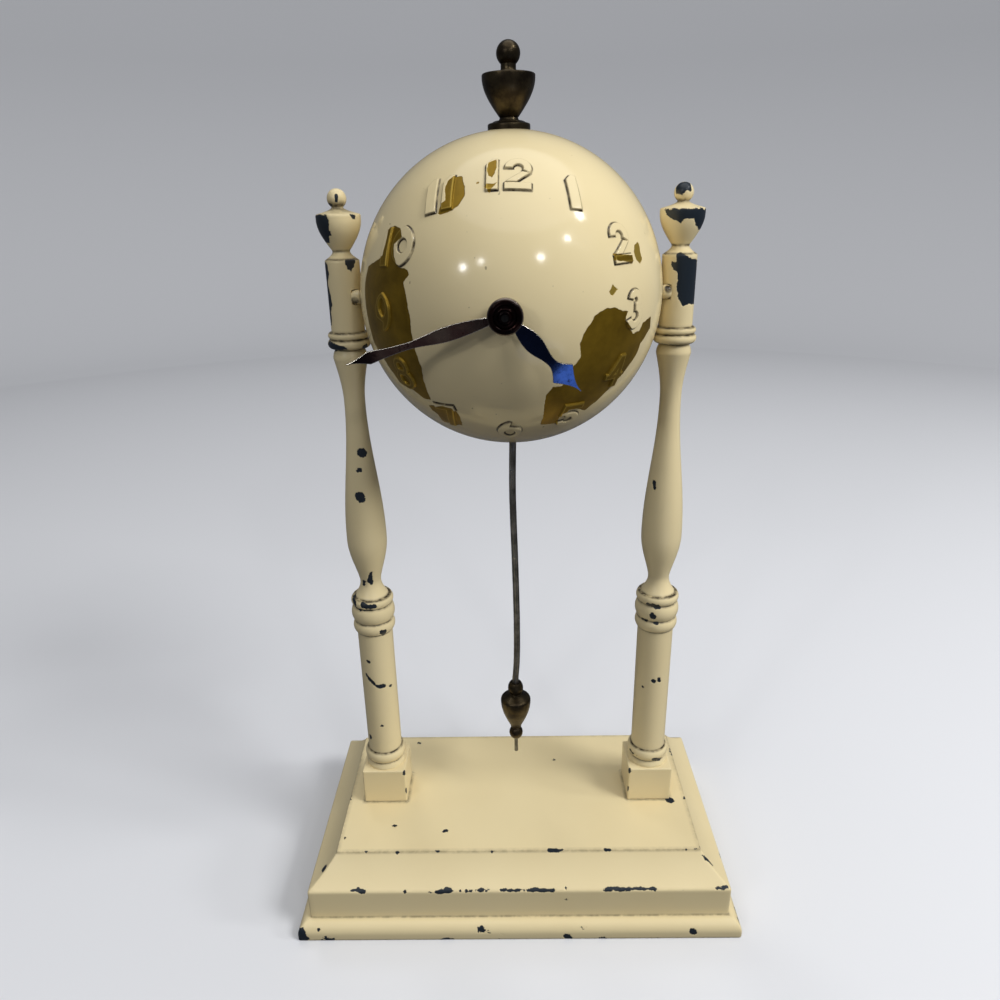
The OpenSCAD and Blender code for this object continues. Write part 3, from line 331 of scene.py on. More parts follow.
def sphere_arc(r, a0, a1, step):
    """Points of a sphere's outline between two polar angles, at most step mm apart."""
    return arc((0, 0), r, 90 - a0, 90 - a1, max(2, math.ceil(r * math.radians(abs(a1 - a0)) / step)))


def bulge(r, depth, z, h, n=14):
    """A shallow round moulding of radius r."""
    bow = (h ** 2 / 4 + depth ** 2) / (2 * depth)
    half = math.degrees(math.asin(h / 2 / bow))
    return arc((r - bow, z + h / 2), bow, -half, half, n)


def rise(p, q, n, out):
    """A curve that climbs evenly from p to q and moves out by a function of its share of the climb."""
    return [(p[0] + (q[0] - p[0]) * out(i / n), p[1] + (q[1] - p[1]) * i / n) for i in range(n + 1)]


def swell(p, q, n):
    """A curve that moves out fast and ends upright."""
    return rise(p, q, n, lambda t: math.sin(math.pi / 2 * t))


def ogee(p, q, n):
    """A curve that moves out softly and ends upright."""
    return rise(p, q, n, lambda t: math.sin(math.pi / 2 * t) ** 1.35)


def flare(p, q, n):
    """A curve that starts upright and moves out late."""
    return rise(p, q, n, lambda t: 1 - math.cos(math.pi / 2 * t))


def ease(p, q, n):
    """A curve that is upright at both ends."""
    return rise(p, q, n, lambda t: (1 - math.cos(math.pi * t)) / 2)


def spaced(points, step):
    """Adds points to the straight runs of a profile, at most step apart."""
    out = [points[0]]
    for p, q in zip(points, points[1:]):
        n = max(1, math.ceil(math.dist(p, q) / step))
        out += [(p[0] + (q[0] - p[0]) * i / n, p[1] + (q[1] - p[1]) * i / n) for i in range(1, n + 1)]
    return out


# Marks on a surface, kept as attributes in mm for the materials to read

def points_of(piece):
    """Places of a piece's vertices in mm, as an array."""
    flat = np.empty(len(piece.data.vertices) * 3, np.float32)
    piece.data.vertices.foreach_get("co", flat)
    return flat.reshape(-1, 3).astype(float) / MM


def move_to(piece, points):
    """Moves a piece's vertices to places in mm."""
    piece.data.vertices.foreach_set("co", (points * MM).astype(np.float32).ravel())
    piece.data.update()


def mark(piece, name, values):
    """Keeps one number for each vertex under a name."""
    attribute = piece.data.attributes.new(name, "FLOAT", "POINT")
    attribute.data.foreach_set("value", np.asarray(values, np.float32))


def fade(away, width):
    """Fades from one, at no distance, to nothing over about twice a width."""
    return np.exp(-(away / width) ** 2)


def to_spots(points, spots):
    """Distance in mm from each point to the nearest of some rounded strokes (start, end, radius)."""
    near = np.full(len(points), 50.0)
    for start, end, radius in spots:
        a, along = np.asarray(start, float), np.subtract(end, start)
        t = np.clip((points - a) @ along / max(along @ along, 1e-9), 0, 1)
        near = np.minimum(near, np.linalg.norm(points - a - t[:, None] * along, axis=1) - radius)
    return near


def to_outline(x, y, outline):
    """Distance from flat points to a closed outline, negative inside it."""
    near = np.full(x.shape, 1e9)
    inside = np.zeros(x.shape, bool)
    for (x0, y0), (x1, y1) in zip(outline, outline[1:] + outline[:1]):
        dx, dy = x1 - x0, y1 - y0
        t = np.clip(((x - x0) * dx + (y - y0) * dy) / max(dx * dx + dy * dy, 1e-12), 0, 1)
        near = np.minimum(near, np.hypot(x - x0 - t * dx, y - y0 - t * dy))
        if dy:
            inside ^= ((y0 > y) != (y1 > y)) & (x < x0 + dx * (y - y0) / dy)
    return np.where(inside, -near, near)


# Materials

def connect(node, sockets):
    """Sets the sockets of a node, or links them where the value is another node's output."""
    for key, value in sockets.items() if isinstance(sockets, dict) else enumerate(sockets):
        if isinstance(value, bpy.types.NodeSocket):
            node.id_data.links.new(value, node.inputs[key])
        else:
            node.inputs[key].default_value = value


def add(tree, kind, sockets=(), out=0, **settings):
    """Adds a node with its settings, sets or links its sockets, and gives one of its outputs."""
    node = tree.nodes.new("ShaderNode" + kind)
    for key, value in settings.items():
        setattr(node, key, value)
    connect(node, sockets)
    return node.outputs[out]


def blank(name):
    """A new material with its node tree, its surface shader and the place on the piece."""
    material = bpy.data.materials.new(name)
    material.use_nodes = True
    tree = material.node_tree
    return material, tree, tree.nodes["Principled BSDF"], add(tree, "TexCoord", out="Object")


def enamel_on_spun_brass(name, finishes):
    """Glossy cream enamel on a spun ball: even and shiny, with a dark line of dirt and painted shade round
    the foot of the numbers, and clean-edged chips down to dull olive brass that is bright only where the
    numbers have been rubbed."""
    material, tree, shader, at = blank(name)
    chip, foot, crest = [add(tree, "Attribute", out="Fac", attribute_name=word)
                         for word in ("chip", "foot", "crest")]
    # Chip rims wander over 4 mm, with teeth of half a millimetre.
    waves = add(tree, "TexNoise", {"Vector": at, "Scale": 1000 / 4, "Detail": 4.0, "Roughness": 0.55})
    rim = add(tree, "Math", [waves, 1.6, chip], operation="MULTIPLY_ADD")
    bare = add(tree, "MapRange", [rim, 0.74, 0.86, 1.0, 0.0])
    # Cloudy yellowing, 30 mm across.
    cloud = add(tree, "TexNoise", {"Vector": at, "Scale": 1000 / 30, "Detail": 3.0})
    aged = add(tree, "MapRange", [cloud, 0.42, 0.75, 0.0, 0.45])
    paint = add(tree, "Mix", {0: aged, 6: finishes.cream, 7: finishes.cream_warm}, 2, data_type="RGBA")
    # Specks of dirt about 0.8 mm across, and a dark line of dirt and painted shade round the foot of the
    # numbers.
    dust = add(tree, "TexNoise", {"Vector": at, "Scale": 1000 / 2.2, "Detail": 1.0})
    speck = add(tree, "MapRange", [dust, 0.78, 0.82, 0.0, 0.5])
    patch = add(tree, "MapRange", [waves, 0.34, 0.55, 0.45, 1.0])
    dirt_and_shade_line = add(tree, "Math", [foot, patch], operation="MULTIPLY")
    # The darkening is painted shade round the foot of the numbers, mixed with real dirt specks.
    dirt = add(tree, "Math", [dirt_and_shade_line, speck], operation="MAXIMUM")
    paint = add(tree, "Mix", {0: dirt, 6: paint, 7: finishes.grime_and_shade}, 2, data_type="RGBA")
    # Tarnish in 7 mm clouds.
    tarnish = add(tree, "TexNoise", {"Vector": at, "Scale": 1000 / 7, "Detail": 6.0, "Roughness": 0.6})
    tone = add(tree, "MapRange", [tarnish, 0.35, 0.68, 0.0, 1.0])
    metal = add(tree, "Mix", {0: tone, 6: finishes.dark_brass, 7: finishes.bare_brass}, 2, data_type="RGBA")
    metal = add(tree, "Mix", {0: crest, 6: metal, 7: finishes.bright_brass}, 2, data_type="RGBA")
    both = add(tree, "Mix", {0: bare, 6: paint, 7: metal}, 2, data_type="RGBA")
    gloss = add(tree, "MapRange", [bare, 0.0, 1.0, 0.13, 0.4])
    metallic = add(tree, "MapRange", [bare, 0.0, 1.0, 0.0, 0.72])
    # The enamel stands 0.1 mm above the brass.
    skin = add(tree, "MapRange", [rim, 0.66, 0.94, 0.0, 1.0])
    bump = add(tree, "Bump", {"Height": skin, "Strength": 0.8, "Distance": 0.1 * MM})
    connect(shader, {"Base Color": both, "Roughness": gloss, "Metallic": metallic, "Normal": bump})
    return material


def paint_on_lacquered_wood(name, finishes):
    """Brushed cream paint over a dark lacquered wood stand: satin, darker in the grooves and corners with
    dirt and painted shade, with hard chips and rubbed edges that show the near-black lacquer under it."""
    material, tree, shader, at = blank(name)
    chip, edge, foot = [add(tree, "Attribute", out="Fac", attribute_name=word)
                        for word in ("chip", "edge", "foot")]
    # Chip rims wander over 2.6 mm.
    waves = add(tree, "TexNoise", {"Vector": at, "Scale": 1000 / 2.6, "Detail": 5.0, "Roughness": 0.6})
    rim = add(tree, "Math", [waves, 3.0, chip], operation="MULTIPLY_ADD")
    # Knocks along the edges come every 9 mm or so and reach about a millimetre in.
    knock = add(tree, "TexNoise", {"Vector": at, "Scale": 1000 / 9, "Detail": 4.0, "Roughness": 0.65})
    reach = add(tree, "Math", [knock, -16.0, edge], operation="MULTIPLY_ADD")
    edge_rim = add(tree, "Math", [reach, 11.4], operation="ADD")
    nearest = add(tree, "Math", [rim, edge_rim], operation="MINIMUM")
    bare = add(tree, "MapRange", [nearest, 1.4, 1.52, 1.0, 0.0])
    # Cloudy yellowing, 40 mm across, and a dark line of dirt and painted shade in the grooves and corners.
    cloud = add(tree, "TexNoise", {"Vector": at, "Scale": 1000 / 40, "Detail": 4.0})
    aged = add(tree, "MapRange", [cloud, 0.4, 0.75, 0.0, 0.4])
    paint = add(tree, "Mix", {0: aged, 6: finishes.cream, 7: finishes.cream_warm}, 2, data_type="RGBA")
    patch = add(tree, "MapRange", [waves, 0.35, 0.6, 0.35, 1.0])
    dirt_and_shade_line = add(tree, "Math", [foot, patch], operation="MULTIPLY")
    paint = add(tree, "Mix", {0: dirt_and_shade_line, 6: paint, 7: finishes.grime_and_shade}, 2, data_type="RGBA")
    both = add(tree, "Mix", {0: bare, 6: paint, 7: finishes.lacquer}, 2, data_type="RGBA")
    gloss = add(tree, "MapRange", [cloud, 0.3, 0.7, 0.3, 0.42])
    # The paint stands 0.15 mm above the lacquer, uneven over 2.5 mm from the brush.
    skin = add(tree, "MapRange", [nearest, 1.3, 1.7, 0.0, 1.0])
    brush = add(tree, "TexNoise", {"Vector": at, "Scale": 1000 / 2.5, "Detail": 2.0})
    height = add(tree, "Math", [brush, 0.12, skin], operation="MULTIPLY_ADD")
    bump = add(tree, "Bump", {"Height": height, "Strength": 0.8, "Distance": 0.15 * MM})
    connect(shader, {"Base Color": both, "Roughness": gloss, "Normal": bump})
    return material


def tarnished_brass(name, dark, light):
    """Turned brass with an old patina in clouds: dark in some, lighter and a little shinier in others."""
    material, tree, shader, at = blank(name)
    # Patina in 5 mm clouds with fine spots.
    cloud = add(tree, "TexNoise", {"Vector": at, "Scale": 1000 / 5, "Detail": 7.0, "Roughness": 0.62})
    tone = add(tree, "MapRange", [cloud, 0.38, 0.72, 0.0, 1.0])
    metal = add(tree, "Mix", {0: tone, 6: dark, 7: light}, 2, data_type="RGBA")
    gloss = add(tree, "MapRange", [cloud, 0.3, 0.7, 0.42, 0.26])
    bump = add(tree, "Bump", {"Height": cloud, "Strength": 0.25, "Distance": 0.08 * MM})
    connect(shader, {"Base Color": metal, "Roughness": gloss, "Metallic": 0.95, "Normal": bump})
    return material


def tempered_steel(name, bright, cloudy):
    """Tempered steel of a hand: near black, coloured where the temper is left, with red-brown specks. On the
    hour hand the colour is painted reflection as well as temper: a near-black blade and a bright blue spade.
    """
    material, tree, shader, at = blank(name)
    # Temper clouds 8 mm across, rust specks about half a millimetre across.
    cloud = add(tree, "TexNoise", {"Vector": at, "Scale": 1000 / 8, "Detail": 4.0})
    rust = add(tree, "TexNoise", {"Vector": at, "Scale": 1000 / 1.2, "Detail": 2.0})
    spot = add(tree, "MapRange", [rust, 0.62, 0.72, 0.0, 0.6])
    deep = add(tree, "MapRange", [cloud, 0.45, 0.7, 0.0, 0.5])
    # The temper mark: where it is low the hand is near black. On the hour hand the dark blade and the blue
    # spade are painted reflection as well as temper.
    temper = add(tree, "Attribute", out="Fac", attribute_name="temper")
    tone = add(tree, "Mix", {0: deep, 6: bright, 7: cloudy}, 2, data_type="RGBA")
    tone = add(tree, "Mix", {0: spot, 6: tone, 7: hex_linear("2A1512")}, 2, data_type="RGBA")
    tone = add(tree, "Mix", {0: temper, 6: hex_linear("1A1A20"), 7: tone}, 2, data_type="RGBA")
    gloss = add(tree, "MapRange", [rust, 0.4, 0.7, 0.16, 0.34])
    connect(shader, {"Base Color": tone, "Roughness": gloss, "Metallic": 1.0})
    return material


def browned_brass(name):
    """Chemically browned brass of the hand nut: a very dark red brown with a polished face."""
    material, tree, shader, at = blank(name)
    # Clouds 3 mm across, and a rim that is rubbed grey.
    cloud = add(tree, "TexNoise", {"Vector": at, "Scale": 1000 / 3, "Detail": 5.0})
    tone = add(tree, "MapRange", [cloud, 0.35, 0.7, 0.0, 1.0])
    rubbed = add(tree, "Attribute", out="Fac", attribute_name="rubbed")
    dark, brown, grey = (hex_linear(code) for code in ("0F0808", "2C1613", "A89C92"))
    metal = add(tree, "Mix", {0: tone, 6: dark, 7: brown}, 2, data_type="RGBA")
    metal = add(tree, "Mix", {0: rubbed, 6: metal, 7: grey}, 2, data_type="RGBA")
    gloss = add(tree, "MapRange", [cloud, 0.3, 0.7, 0.26, 0.14])
    connect(shader, {"Base Color": metal, "Roughness": gloss, "Metallic": 0.9})
    return material


def brushed_metal(name, low, high, roughness):
    """Plain machined metal of the movement: fine brush marks 0.3 mm apart and light stains."""
    material, tree, shader, at = blank(name)
    lie = add(tree, "Mapping", {"Vector": at, "Scale": (8.0, 1.0, 1.0)})
    brush = add(tree, "TexNoise", {"Vector": lie, "Scale": 1000 / 2.4, "Detail": 3.0})
    # Stains 9 mm across.
    stain = add(tree, "TexNoise", {"Vector": at, "Scale": 1000 / 9, "Detail": 4.0})
    tone = add(tree, "MapRange", [stain, 0.35, 0.7, 0.0, 1.0])
    metal = add(tree, "Mix", {0: tone, 6: low, 7: high}, 2, data_type="RGBA")
    gloss = add(tree, "MapRange", [brush, 0.3, 0.7, roughness, roughness + 0.16])
    bump = add(tree, "Bump", {"Height": brush, "Strength": 0.2, "Distance": 0.03 * MM})
    connect(shader, {"Base Color": metal, "Roughness": gloss, "Metallic": 1.0, "Normal": bump})
    return material


def studio_paper(name, pale):
    """Matt background paper: pale and even, with a faint tooth."""
    material, tree, shader, at = blank(name)
    tooth = add(tree, "TexNoise", {"Vector": at, "Scale": 1000 / 4, "Detail": 2.0})
    bump = add(tree, "Bump", {"Height": tooth, "Strength": 0.05, "Distance": 0.05 * MM})
    connect(shader, {"Base Color": pale, "Roughness": 0.75, "Normal": bump})
    return material


def material_for(name):
    """The material of that name, made once, from its own way of making and its colours."""
    tones = bpy.context.scene.clock_finishes
    make, *values = {
        "enamel_on_spun_brass": (enamel_on_spun_brass, tones),
        "paint_on_lacquered_wood": (paint_on_lacquered_wood, tones),
        "tarnished_turned_brass": (tarnished_brass, tones.bronze, tones.worn_bronze),
        "greyed_drawn_brass": (tarnished_brass, tones.grey_brass, tones.worn_grey),
        "fire_blued_steel": (tempered_steel, tones.blued, tones.dark_blue),
        "browned_steel": (tempered_steel, tones.browned, tones.worn_brown),
        "browned_brass": (browned_brass,),
        "turned_steel": (brushed_metal, hex_linear("6E6C68"), tones.steel, 0.24),
        "rolled_brass": (brushed_metal, hex_linear("8F7430"), hex_linear("C4A24E"), 0.28),
        "blackened_steel": (brushed_metal, hex_linear("1C1B1A"), hex_linear("3A3836"), 0.3),
        "rubbed_steel_edge": (brushed_metal, hex_linear("A8A399"), hex_linear("E2DDD0"), 0.2),
        "studio_paper": (studio_paper, tones.floor),
    }[name]
    return bpy.data.materials.get(name) or make(name, *values)


# The stand

# Bores for the column screws, in metres: radius, lowest and highest point
SCREW_BORES = ((0.0046, -0.001, 0.014), (0.0022, 0.013, 0.040))

# Chips on the base, as strokes in mm: start, end, radius
BASE_CHIPS = [
    ((-87.5, -50, 3.4), (-88, -50, 1.5), 2.4), ((-85, -50.5, 1.6), (-84.5, -50.5, 1.2), 0.58),
    ((-66.5, -45.2, 21.4), (-61.5, -45.6, 21), 0.65), ((-64.5, -44.8, 21.6), (-63.5, -44.8, 21.6), 0.86),
    ((-46, -45.9, 20.9), (-45.4, -45.9, 20.9), 0.65), ((-33, -46, 20.6), (-27, -45.6, 21), 0.79),
    ((-29, -45.2, 21.3), (-28, -45.2, 21.4), 0.86), ((-21, -45.7, 21), (-11.5, -45.6, 21.1), 0.58),
    ((-13.5, -45.1, 21.4), (-12.5, -45.1, 21.4), 0.79), ((-7, -45.6, 21.1), (14, -45.6, 21), 0.58),
    ((18.7, -45, 21.4), (19, -45, 21.4), 0.65), ((34, -45.6, 21.1), (54.5, -45.4, 21.2), 0.72),
    ((36, -45.2, 21.3), (37, -45.2, 21.3), 0.86), ((78.7, -45.3, 21.2), (82.6, -45, 21.4), 0.79),
    ((12.6, -35.2, 31), (17.5, -35.2, 31), 0.79), ((35, -35.2, 31), (37.5, -35.2, 31), 0.5),
    ((-33, -35.2, 31), (-32, -35.2, 31), 0.79), ((-62.2, -35.4, 31), (-61.5, -35.4, 31), 0.5),
    ((-49.4, -35.4, 30.9), (-48.6, -35.4, 30.9), 0.58), ((-11, -35.4, 30.9), (-10, -35.4, 30.9), 0.58),
    ((-52, -21.7, 31), (-51.5, -21.7, 31), 0.86), ((-30.6, -24.7, 31), (-29.8, -24.9, 31), 0.86),
    ((17.4, 18.1, 31), (17.9, 18.1, 31), 0.79), ((-47.2, 30.9, 31), (-46.8, 30.9, 31), 0.79),
    ((66.4, -8.4, 31), (67.2, -8.2, 31), 1.7), ((74.5, -36.6, 29), (78, -38, 25.8), 0.58),
    ((-79, -38, 25), (-79, -37.5, 25.2), 1.5), ((-71.6, -28.1, 31), (-71.6, -27.6, 31), 0.58),
    ((18.4, -45.9, 16.5), (19.4, -45.9, 16.5), 0.58),
    ((88.6, -41, 4.6), (88.7, -44, 3.6), 0.86), ((88.2, -46, 5.2), (88.3, -47, 4.8), 0.79),
    ((-81, -49.6, 5.6), (-80.6, -49.6, 5.4), 0.72), ((-15.2, -50, 5), (-14.4, -50, 4.9), 1.5),
    ((-11.1, -50.4, 3.7), (-10.8, -50.4, 3.6), 0.58), ((-8, -50.5, 3.1), (-7, -50.5, 2.9), 0.72),
    ((25, -49.8, 5.3), (25.8, -49.8, 5.3), 0.65), ((19.3, -50.5, 1.6), (19.7, -50.5, 1.2), 1.6),
    ((69.2, -50.4, 4), (69.4, -50.4, 3.6), 1.5),
]


def base_profile(sizes):
    """Side of the moulded base as (inset, height) in mm, from the floor to the top plate."""
    lip, ovolo, band = sizes.lip / MM, sizes.ovolo / MM, sizes.band / MM
    wide, high, bow = sizes.cove_width / MM, sizes.cove_height / MM, sizes.cove_radius / MM
    soft = sizes.edge / MM
    step, plate, top = lip + band, ovolo + wide, lip + band + high
    chord, lie = math.hypot(wide, high), math.atan2(high, wide)
    sink = math.sqrt(bow ** 2 - chord ** 2 / 4)
    centre = (ovolo + wide / 2 - sink * math.sin(lie), step + high / 2 + sink * math.cos(lie))
    down, spread = math.degrees(lie) - 90, math.degrees(math.asin(chord / 2 / bow))
    cove = arc(centre, bow, down - spread, down + spread, 24)
    return spaced(
        [(soft, 0), (0.3 * soft, 0.3 * soft), (0, soft), (0, lip - ovolo)]
        + arc((ovolo, lip - ovolo), ovolo, 171, 99, 8)
        + [(ovolo - 0.1, lip), (ovolo, lip + 0.15), (ovolo, step - soft),
           (ovolo + 0.25 * soft, step - 0.2 * soft)]
        + [p for p in cove if p[0] > ovolo + 0.6 * soft and p[1] < top - 0.5 * soft]
        + [(plate - 0.3 * soft, top - 0.05 * soft), (plate + 0.9 * soft, top)], 0.9)


def column_axis(sizes, side):
    """Place of a column's axis on the base, in mm; side is -1 for the left one and 1 for the right."""
    return np.array([side * sizes.column_reach, sizes.column_back]) / MM


class CLOCK_OT_base(bpy.types.Operator):
    """Models the moulded base, bores it for the column screws and chips its paint"""
    bl_idname = "clock.base"
    bl_label = "Base"

    def execute(self, context):
        sizes = context.scene.clock_stand
        piece = self.moulding(sizes)
        for side in (-1, 1):
            for radius, low, high in SCREW_BORES:
                at = (*column_axis(sizes, side) * MM, (low + high) / 2)
                drill(piece, "screw_hole", radius, high - low, at)
        self.marks(piece, sizes)
        finish(piece, "stand", "paint_on_lacquered_wood", ["base"])
        return {"FINISHED"}

    def moulding(self, sizes):
        """The base's outline drawn up along its moulding and in across its top, and closed."""
        wide, deep = sizes.base_width / 2 / MM, sizes.base_depth / 2 / MM
        rings = base_profile(sizes)
        inset = rings[0][0]
        piece = fresh(bpy.ops.mesh.primitive_plane_add, "clock_base", size=2.0)
        edit()
        bpy.ops.transform.resize(value=((wide - inset) * MM, (deep - inset) * MM, 1.0))
        bpy.ops.mesh.bevel(offset=sizes.corner, segments=4, affect="VERTICES")
        bpy.ops.mesh.delete(type="ONLY_FACE")
        done()
        for cuts, axis in ((175, 0), (99, 1)):
            at = [v.co[axis] for v in piece.data.vertices]
            pick(piece, "edges", lambda e: abs(at[e.vertices[0]] - at[e.vertices[1]]) > 0.05)
            bpy.ops.mesh.subdivide(number_cuts=cuts)
            done()
        while min(wide, deep) - rings[-1][0] > 4:
            rings.append((rings[-1][0] + 1.2, rings[-1][1]))
        edit()
        for (i0, z0), (i1, z1) in zip(rings, rings[1:]):
            bpy.ops.mesh.extrude_edges_move(TRANSFORM_OT_translate={"value": (0, 0, (z1 - z0) * MM)})
            bpy.ops.transform.resize(value=((wide - i1) / (wide - i0), (deep - i1) / (deep - i0), 1.0),
                                     center_override=(0, 0, 0))
        bpy.ops.mesh.edge_face_add()
        done()
        pick(piece, "vertices", lambda v: v.co.z < 1e-6)
        bpy.ops.mesh.edge_face_add()
        bpy.ops.mesh.select_all(action="SELECT")
        bpy.ops.mesh.normals_make_consistent(inside=False)
        done()
        return piece

    def marks(self, piece, sizes):
        """Keeps where the base is chipped, knocked along its edges, and darkened in its inside corners and
        round the blocks' feet with dirt and painted shade.
        """
        points = points_of(piece)
        height, top = points[:, 2], points[:, 2].max()
        lip, band, ovolo = sizes.lip / MM, sizes.band / MM, sizes.ovolo / MM
        plate = ovolo + sizes.cove_width / MM
        half = np.array([sizes.base_width, sizes.base_depth]) / 2 / MM
        inset = np.min(half - np.abs(points[:, :2]), axis=1)
        # Edges that are knocked: inset, height and how much more often. The bottom edge is knocked most
        # often, as chips and as painted shade where the base meets the floor.
        edges = [(0.1, 0.2, -0.7), (ovolo, lip + band, -0.2), (plate, top, 0.4)]
        corners = [np.hypot(inset - ovolo, height - lip), np.hypot(inset - plate, height - top + 0.3)]
        for side in (-1, 1):
            square = np.max(np.abs(points[:, :2] - column_axis(sizes, side)), axis=1)
            corners.append(np.hypot(square - sizes.block / 2 / MM - 0.2, height - top))
        mark(piece, "chip", to_spots(points, BASE_CHIPS))
        knocks = [np.hypot(inset - i, height - z) + late for i, z, late in edges]
        mark(piece, "edge", np.min(knocks, axis=0))
        # Painted shade, with dirt: a dark line in the inside corners of the moulding, under the edge of the
        # top plate, and round the foot of each block.
        mark(piece, "foot", 0.6 * fade(np.min(corners, axis=0), 0.5))


# Chips on the columns as outlines of (height in mm, azimuth in degrees from the front)
LEFT_PATCHES = [
    [(272.9, -100), (272.8, -18), (270.9, -10), (268.7, -16), (266.5, -13), (264.3, -34), (263.6, -70),
     (266, -100)],
    [(258.2, -57), (256.3, -46), (254.3, -43), (251.3, -56), (247.6, -50), (246.2, -41), (244.2, -38),
     (242, -52), (236.9, -58), (236, -100), (257, -100)],
    [(258.7, 24), (258.9, 45), (258.4, 63), (256.7, 54), (254.7, 40), (255.8, 27), (257.5, 21)],
    [(231.3, -70), (231.4, -38), (230.6, -24), (230.7, -2), (229.2, 5), (228.3, -14), (227.8, -70)],
    [(272.8, 44), (272.7, 64), (271.4, 61), (271.3, 48)],
    [(278.9, 4), (278.9, 18), (276.3, 16), (276.4, -1)],
    [(138.9, -3), (141.8, 12), (142.9, 27), (140.2, 19), (137.9, 25), (136.3, 31), (135.5, 6), (137.3, -6)],
    [(116.6, 22), (116.7, 44), (113.2, 44), (112.2, 32)],
]
RIGHT_PATCHES = [
    [(278.5, -75), (279.6, -80), (281, -90), (281, 90), (279.6, 40), (278.2, 34), (278, -1), (277.3, -24),
     (277.2, -60)],
    [(272.6, -64), (272.6, 110), (268, 110), (266, 70), (266, 47), (267.8, 28), (269.7, 19), (269.8, 5),
     (269.3, -7), (268, -15), (269.2, -27), (269.7, -36), (270.7, -52)],
    [(259.4, -9), (257.9, 19), (257.1, 34), (256.1, 70), (249.2, 78), (241.8, 70), (242.3, 33), (241.4, 14),
     (242.1, 0), (245.2, -10), (249.6, -19), (252.4, -17), (253.4, -25), (254.3, -40), (256.3, -43),
     (256.8, -38), (256.2, -24), (258.6, -23)],
]
# Smaller chips on the columns: start and end as (height, azimuth), and a radius in mm
LEFT_SPOTS = [
    ((190.6, 22), (190.4, 25), 1.7), ((184.2, 2), (184.1, 5), 1.1), ((174.2, 2), (173.6, 5), 1.9),
    ((135.8, -32), (136.8, -28), 0.8), ((129.6, -60), (128.6, -46), 0.9), ((128.6, -16), (128.2, 14), 1.0),
    ((126.3, -45), (126.2, 6), 0.5), ((101.5, -22), (101.4, -20), 0.8), ((95, -37), (92.8, -20), 0.7),
    ((92.6, -19), (90.2, -2), 0.6), ((89.9, 2), (89.6, 22), 1.0), ((88.5, 46), (88.4, 50), 0.6),
    ((229.4, 50), (229.2, 62), 0.9), ((276, -60), (276, -30), 0.6), ((62, -48), (63, -48), 0.7),
    ((70, 4), (70, 6), 0.5),
]
RIGHT_SPOTS = [
    ((177.5, -50), (175.3, -48), 0.8), ((127, -34), (126.2, -4), 0.8), ((122.6, -22), (122.2, -17), 1.1),
    ((119.4, -52), (119.2, -40), 0.8), ((119, -14), (118.9, -8), 0.7), ((91.1, -6), (91, -4), 1.0),
    ((91.8, 12), (91.3, 14), 0.9), ((52, 10), (50.6, 30), 1.2), ((50.2, 30), (50.6, 46), 0.7),
    ((87, -42), (87, -41), 0.6),
]
# Heights in mm of the grooves of a column, with the width of the dark band of dirt and painted shade in
# each, and of its crests
COLUMN_GROOVES = {31: 0.35, 50.3: 0.35, 55.5: 0.4, 114: 0.4, 119: 0.4, 126: 0.4, 129.8: 0.35, 228.6: 0.45,
                  231.8: 0.5, 234.2: 0.4, 258.6: 0.3, 261.2: 0.4, 275.2: 0.75}
# The left column has a wider dark band of dirt and painted shade under its knob
LEFT_GROOVES = {**COLUMN_GROOVES, 275.2: 1.7}
COLUMN_CRESTS = [52.9, 116.5, 122.5, 127.9, 230.2, 233, 272.8]
# Height in mm of the top of the foot blocks, and the radius at which a column's outlines are unrolled
BLOCK_TOP, UNROLLED, LEAST_UNROLLED = 47.6, 6.5, 3.5


def column_profile():
    """Half profile of a turned column in mm, from inside its block to the knob."""
    return spaced(
        [(0, 47.4), (8.3, 47.4)] + flare((8.4, 47.6), (7.4, 50.3), 6) + bulge(8.6, 1.2, 50.3, 5.2)
        + [(7.1, 55.5), (7.1, 114)]
        + bulge(8.4, 0.9, 114, 5) + bulge(8.65, 1.1, 119, 7) + bulge(8.4, 0.9, 126, 3.8)
        + swell((6.65, 129.8), (4.1, 136), 16) + ogee((4.1, 136.4), (7.7, 154.5), 40)
        + ease((7.7, 155), (3.8, 208.5), 90) + flare((3.8, 209), (6.1, 225), 30)
        + [(5.0 + 1.1 * math.cos(math.radians(a)), 225 + a / 25) for a in range(9, 91, 9)]
        + bulge(7.5, 1, 228.6, 3.2) + bulge(7.2, 0.8, 231.8, 2.4)
        + [(5.85, 234.2), (5.85, 258), (5.72, 258.28), (5.45, 258.4)]
        + swell((5.35, 258.5), (2.95, 261.1), 10) + swell((3.05, 261.4), (7.45, 271.2), 24)
        + [(7.45, 272.3), (7.3, 272.75)]
        + swell((7.1, 272.9), (1.92, 275.1), 12) + arc((0, 277.66), 3.2, -53.1, 90, 30), 0.62)


